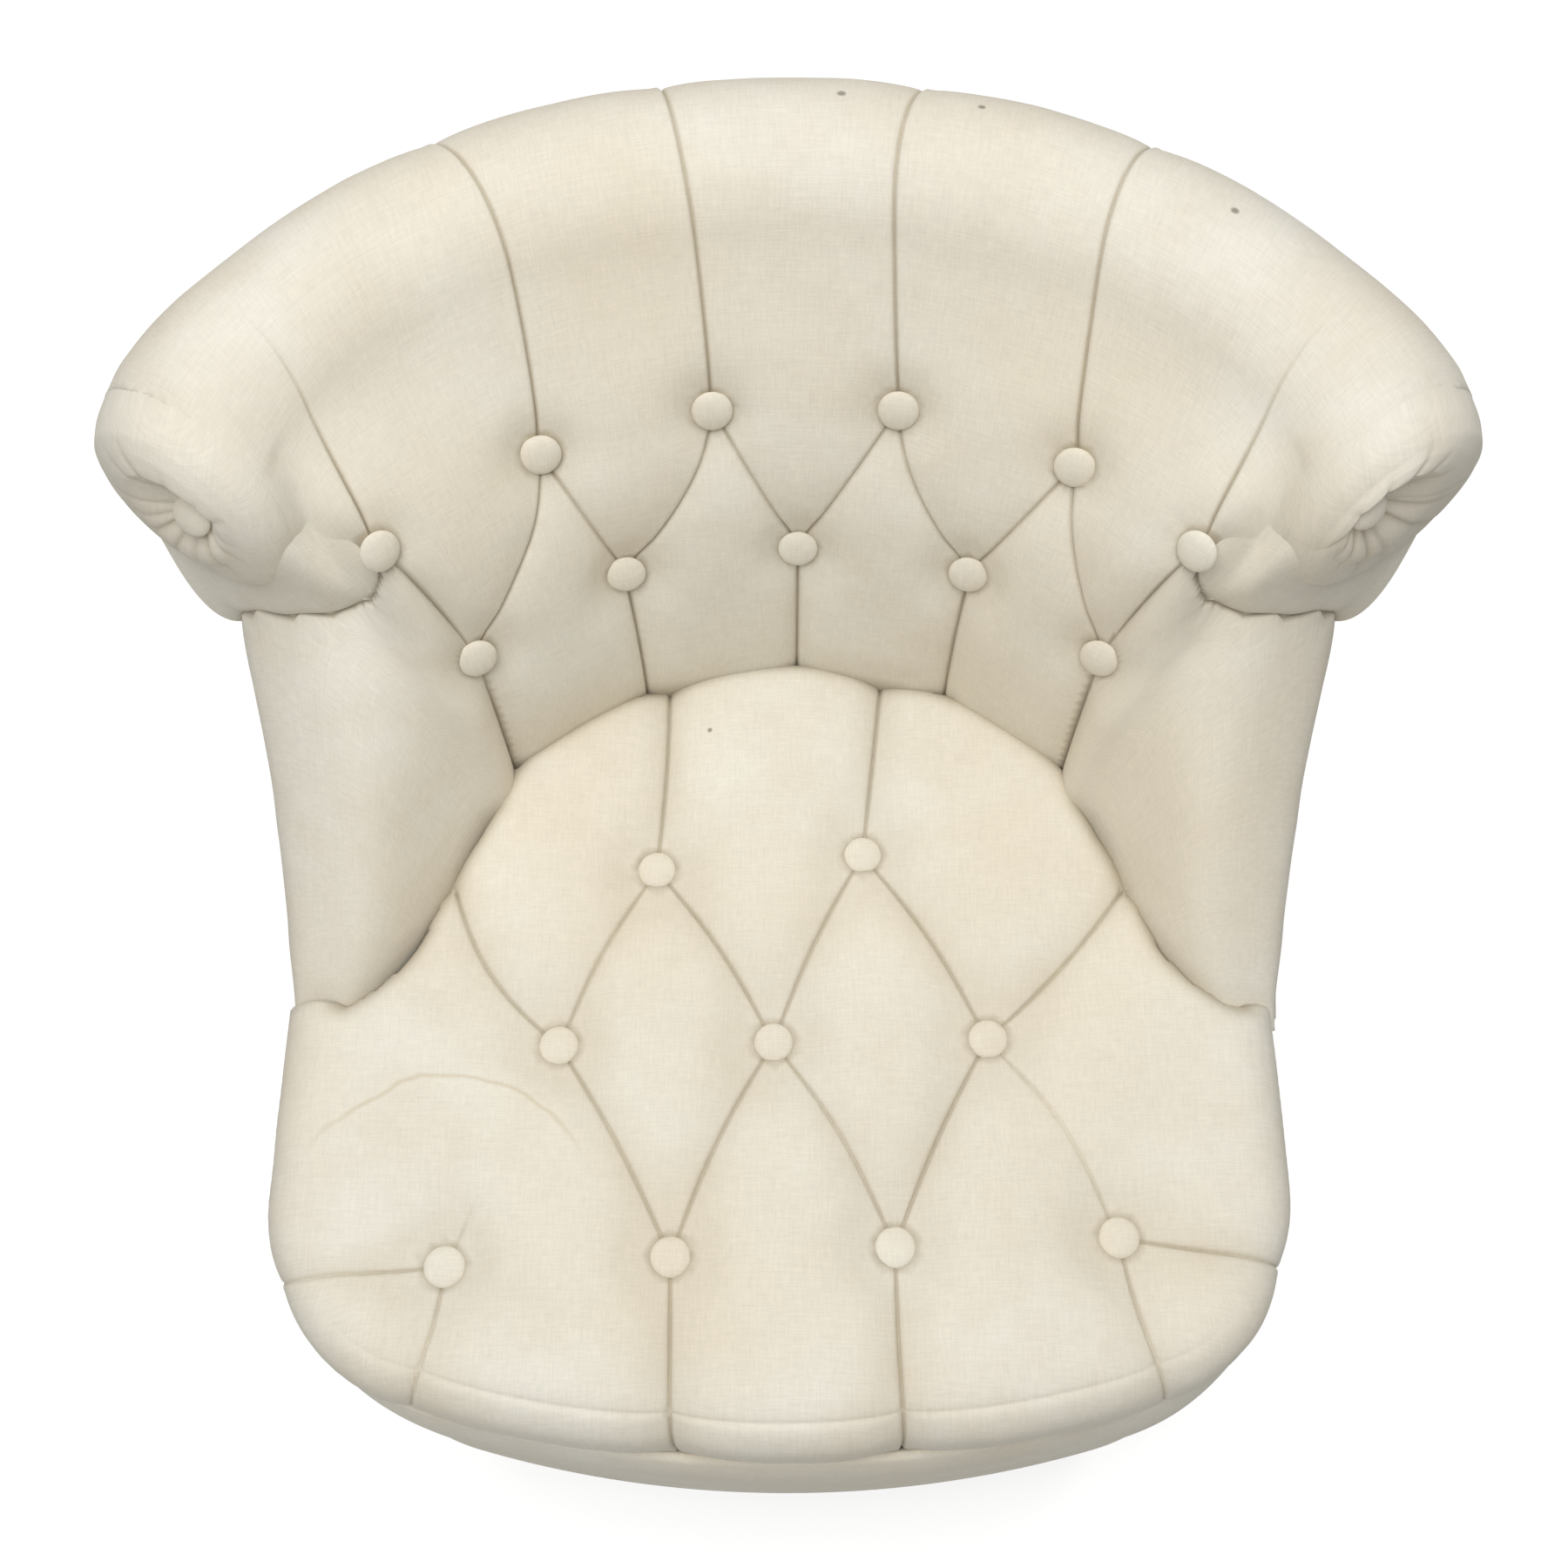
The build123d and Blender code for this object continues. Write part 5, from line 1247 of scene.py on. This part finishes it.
def placeButtons(name, model, spots, nodeName):
    copies = []
    for point, out in spots:
        mesh = model.data.copy()
        turn = Vector(out).to_track_quat("Z", "Y").to_matrix().to_4x4()
        lift = Matrix.Translation(Vector((0, 0, (buttonLook["rim"] + buttonLook["lift"]) * mm)))
        layer = mesh.uv_layers.active or mesh.uv_layers.new(name="cloth")
        layer.name = "cloth"
        for loop in mesh.loops:
            co = mesh.vertices[loop.vertex_index].co
            layer.data[loop.index].uv = (co.x + point[0] * mm, co.y + point[1] * mm)
        mesh.transform(Matrix.Translation(Vector(point) * mm) @ turn @ lift)
        copy = bpy.data.objects.new(name + "_" + str(len(copies) + 1), mesh)
        scene.collection.objects.link(copy)
        copy.data.materials.append(linen)
        copies.append(copy)
    for copy in copies:
        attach(copy, "root")
    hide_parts(nodeName)


def backButtonSpot(u, v, point):
    # a button faces square to the slope of the inside back
    st = stationAt(u)
    above = (shape["upperRow"][0] - shape["lowerRow"][0]) * st["reach"]
    slope = above / (shape["upperRow"][1] - shape["lowerRow"][1]) * (1 if v > 1.5 else buttonLook["lowSlope"])
    return tuple(point), tuple(Vector((-st["dx"], -st["dy"], slope)).normalized())


def scrollButtonSpot(side):
    end = scrollFrame(side)
    facing = Vector(end["out"] + up * scrollLook["tilt"] - end["across"] * buttonLook["endTurn"]).normalized()
    spot = (end["centre"] + end["out"] * (scrollLook["buttonDepth"] - scrollLook["inward"][side])
            + frontward * fullness(0.0, buttonLook["endHeight"], 0.0) + end["shift"]) * [side, 1, 1]
    return tuple(spot), (facing.x * side, facing.y, facing.z)


model = buttonModel()
placeButtons("seatButton", model, [((x, y, buttonLook["seatHeight"]), (0, 0, 1)) for x, y in seatButtonFlat],
             "seat_buttons")
placeButtons("backButton", model, [backButtonSpot(u, v, p) for (u, v), p in zip(buttonCells, backButtonPoints)],
             "back_buttons")
placeButtons("scrollButton", model, [scrollButtonSpot(side) for side in (-1, 1)], "scroll_buttons")
bpy.data.objects.remove(model)
print("buttons made")

# border under the seat
borderLook = {"aside": 4.0, "asideOver": 60.0, "bottom": 217.5, "taper": 4.5, "bulge": 4.0,
              "bulgeHeight": 358.0, "seam": 385.0, "seamIn": 2.5, "topBow": 0.7, "lowBow": 1.1, "wall": 6.0, "rows": 40, "step": 4.0}


def gridMesh(rows, cloth):
    return {"points": np.vstack(rows), "faces": gridFaces(len(rows), len(rows[0])), "flat": np.vstack(cloth)}


def borderGrow(height):
    # how far the border stands out past the seat's outline: it bulges under the seam and tapers down
    bulge, middle = borderLook["bulge"], borderLook["bulgeHeight"]
    if height > middle:
        share = (borderLook["seam"] - height) / (borderLook["seam"] - middle)
        full = math.sin(share * math.pi / 2) ** borderLook["topBow"]
        return -borderLook["seamIn"] + (bulge + borderLook["seamIn"]) * full
    share = (middle - height) / (middle - borderLook["bottom"])
    return bulge - (bulge + borderLook["taper"]) * smooth(share) ** borderLook["lowBow"]


def borderMesh():
    rows, cloth = [], []
    for height in np.linspace(borderLook["seam"], borderLook["bottom"], borderLook["rows"]):
        line = resample(seatOutline(borderGrow(height), seatLook["armFront"]), borderLook["step"])
        line[:, 0] += borderLook["aside"] * min((borderLook["seam"] - height) / borderLook["asideOver"], 1)
        count = len(rows[0]) if rows else len(line)
        picks = np.linspace(0, distances(line)[-1], count)
        rows.append(np.column_stack([resample(line, count=count), np.full(count, height)]))
        cloth.append(np.column_stack([picks, np.full(count, height)]))
    return gridMesh(rows, cloth)


softPiece("seatBorderCover", borderMesh(), "seat_border", borderLook["wall"])

# outside back and outside arms: plain covers with a waist between their lower edge and their top
outsideLook = {"bottom": 217.5, "midShare": 0.48, "midHeight": 0.53, "rows": 44, "wall": 5.0,
               "backTop": (13.0, 57.5), "armTop": 20.3}


def coverMesh(st, topReach, topHeight, side=1, order=1):
    # rows from the top down; order is -1 where the row has to run the other way to face out
    low = baseDistance(st)
    waist = outsideLook["midHeight"]
    midReach = mix(low, topReach, outsideLook["midShare"])
    rows, cloth = [], []
    for share in np.linspace(1, 0, outsideLook["rows"]):
        s = np.where(share < waist, mix(low, midReach, share / waist),
                     mix(midReach, topReach, (share - waist) / (1 - waist)))
        row = (placed(st, s, mix(outsideLook["bottom"], topHeight, share)) * [side, 1, 1])[::order]
        run = distances(row)
        rows.append(row)
        cloth.append(np.column_stack([run - run[-1] / 2, row[:, 2]]))
    return gridMesh(rows, cloth)


st = backStations(np.linspace(lastColumn, -lastColumn, 145))
pastRoll, underRoll = outsideLook["backTop"]
mesh = coverMesh(st, st["reach"] + pastRoll, st["height"] - underRoll)
softPiece("outsideBackCover", mesh, "outside_back", outsideLook["wall"])
st = armStations(np.linspace(0, 1, 61))
for side, name in ((-1, "left"), (1, "right")):
    mesh = coverMesh(st, st["reach"], st["height"] - outsideLook["armTop"], side, -side)
    softPiece("outsideArmCover_" + name, mesh, "outside_arm_" + name, outsideLook["wall"])
print("border and outside covers made")

# studio: white paper that glows a little for the camera, a soft sky and two soft lights
studio = {
    "floorSize": 30.0, "paper": "#dededc", "paperLift": 0.62, "worldStrength": 0.22, "aim": (0, 0, 0.45),
    "keyPower": 48.0, "keyPlace": (-0.35, -0.7, 3.0), "keySize": 1.8,
    "fillPower": 17.0, "fillPlace": (0.5, 0.9, 3.0), "fillSize": 2.2,
    "lens": 45.12, "shift": -0.0028, "cameraPlace": (0, -0.478, 1.5056), "cameraTilt": 26,
}
white = (1, 1, 1, 1)


def paperMaterial():
    paper = newMaterial("studioPaper")
    shader = addNode(paper, "ShaderNodeBsdfDiffuse", {"Color": toLinear(studio["paper"])})
    seen = addNode(paper, "ShaderNodeLightPath", {}).outputs["Is Camera Ray"]
    glow = addNode(paper, "ShaderNodeEmission",
                   {"Color": white, "Strength": calculated(paper, "MULTIPLY", seen, studio["paperLift"])})
    lit = addNode(paper, "ShaderNodeAddShader", {0: shader.outputs[0], 1: glow.outputs[0]})
    return finishMaterial(paper, lit)


def makeWorld():
    # bright where the camera and reflections see it, dimmer as a light
    world = bpy.data.worlds.new("studioWorld")
    scene.world = world
    world.use_nodes = True
    world.node_tree.nodes.clear()
    rays = addNode(world, "ShaderNodeLightPath", {})
    seen = calculated(world, "MAXIMUM", rays.outputs["Is Camera Ray"], rays.outputs["Is Glossy Ray"])
    sky = addNode(world, "ShaderNodeBackground",
                  {"Color": white, "Strength": ranged(world, seen, 0.0, 1.0, studio["worldStrength"], 1.0)})
    addNode(world, "ShaderNodeOutputWorld", {"Surface": sky.outputs[0]})


def areaLight(name):
    data = bpy.data.lights.new(name + "Light", "AREA")
    data.size = studio[name + "Size"]
    data.energy = studio[name + "Power"]
    lamp = bpy.data.objects.new(name + "Light", data)
    lamp.location = studio[name + "Place"]
    lamp.rotation_euler = (Vector(studio["aim"]) - lamp.location).to_track_quat("-Z", "Y").to_euler()
    scene.collection.objects.link(lamp)


def photoCamera():
    data = bpy.data.cameras.new("photoCamera")
    data.sensor_width = 36
    data.lens = studio["lens"]
    data.shift_x = studio["shift"]
    camera = bpy.data.objects.new("photoCamera", data)
    camera.location = studio["cameraPlace"]
    camera.rotation_euler = (math.radians(studio["cameraTilt"]), 0, 0)
    scene.collection.objects.link(camera)
    return camera


bpy.ops.object.select_all(action="DESELECT")
bpy.ops.mesh.primitive_plane_add(size=studio["floorSize"])
floor = bpy.context.active_object
floor.name = "studioFloor"
floor.data.materials.append(paperMaterial())
makeWorld()
areaLight("key")
areaLight("fill")
scene.camera = photoCamera()
scene.view_settings.view_transform = "Standard"
print("studio ready")
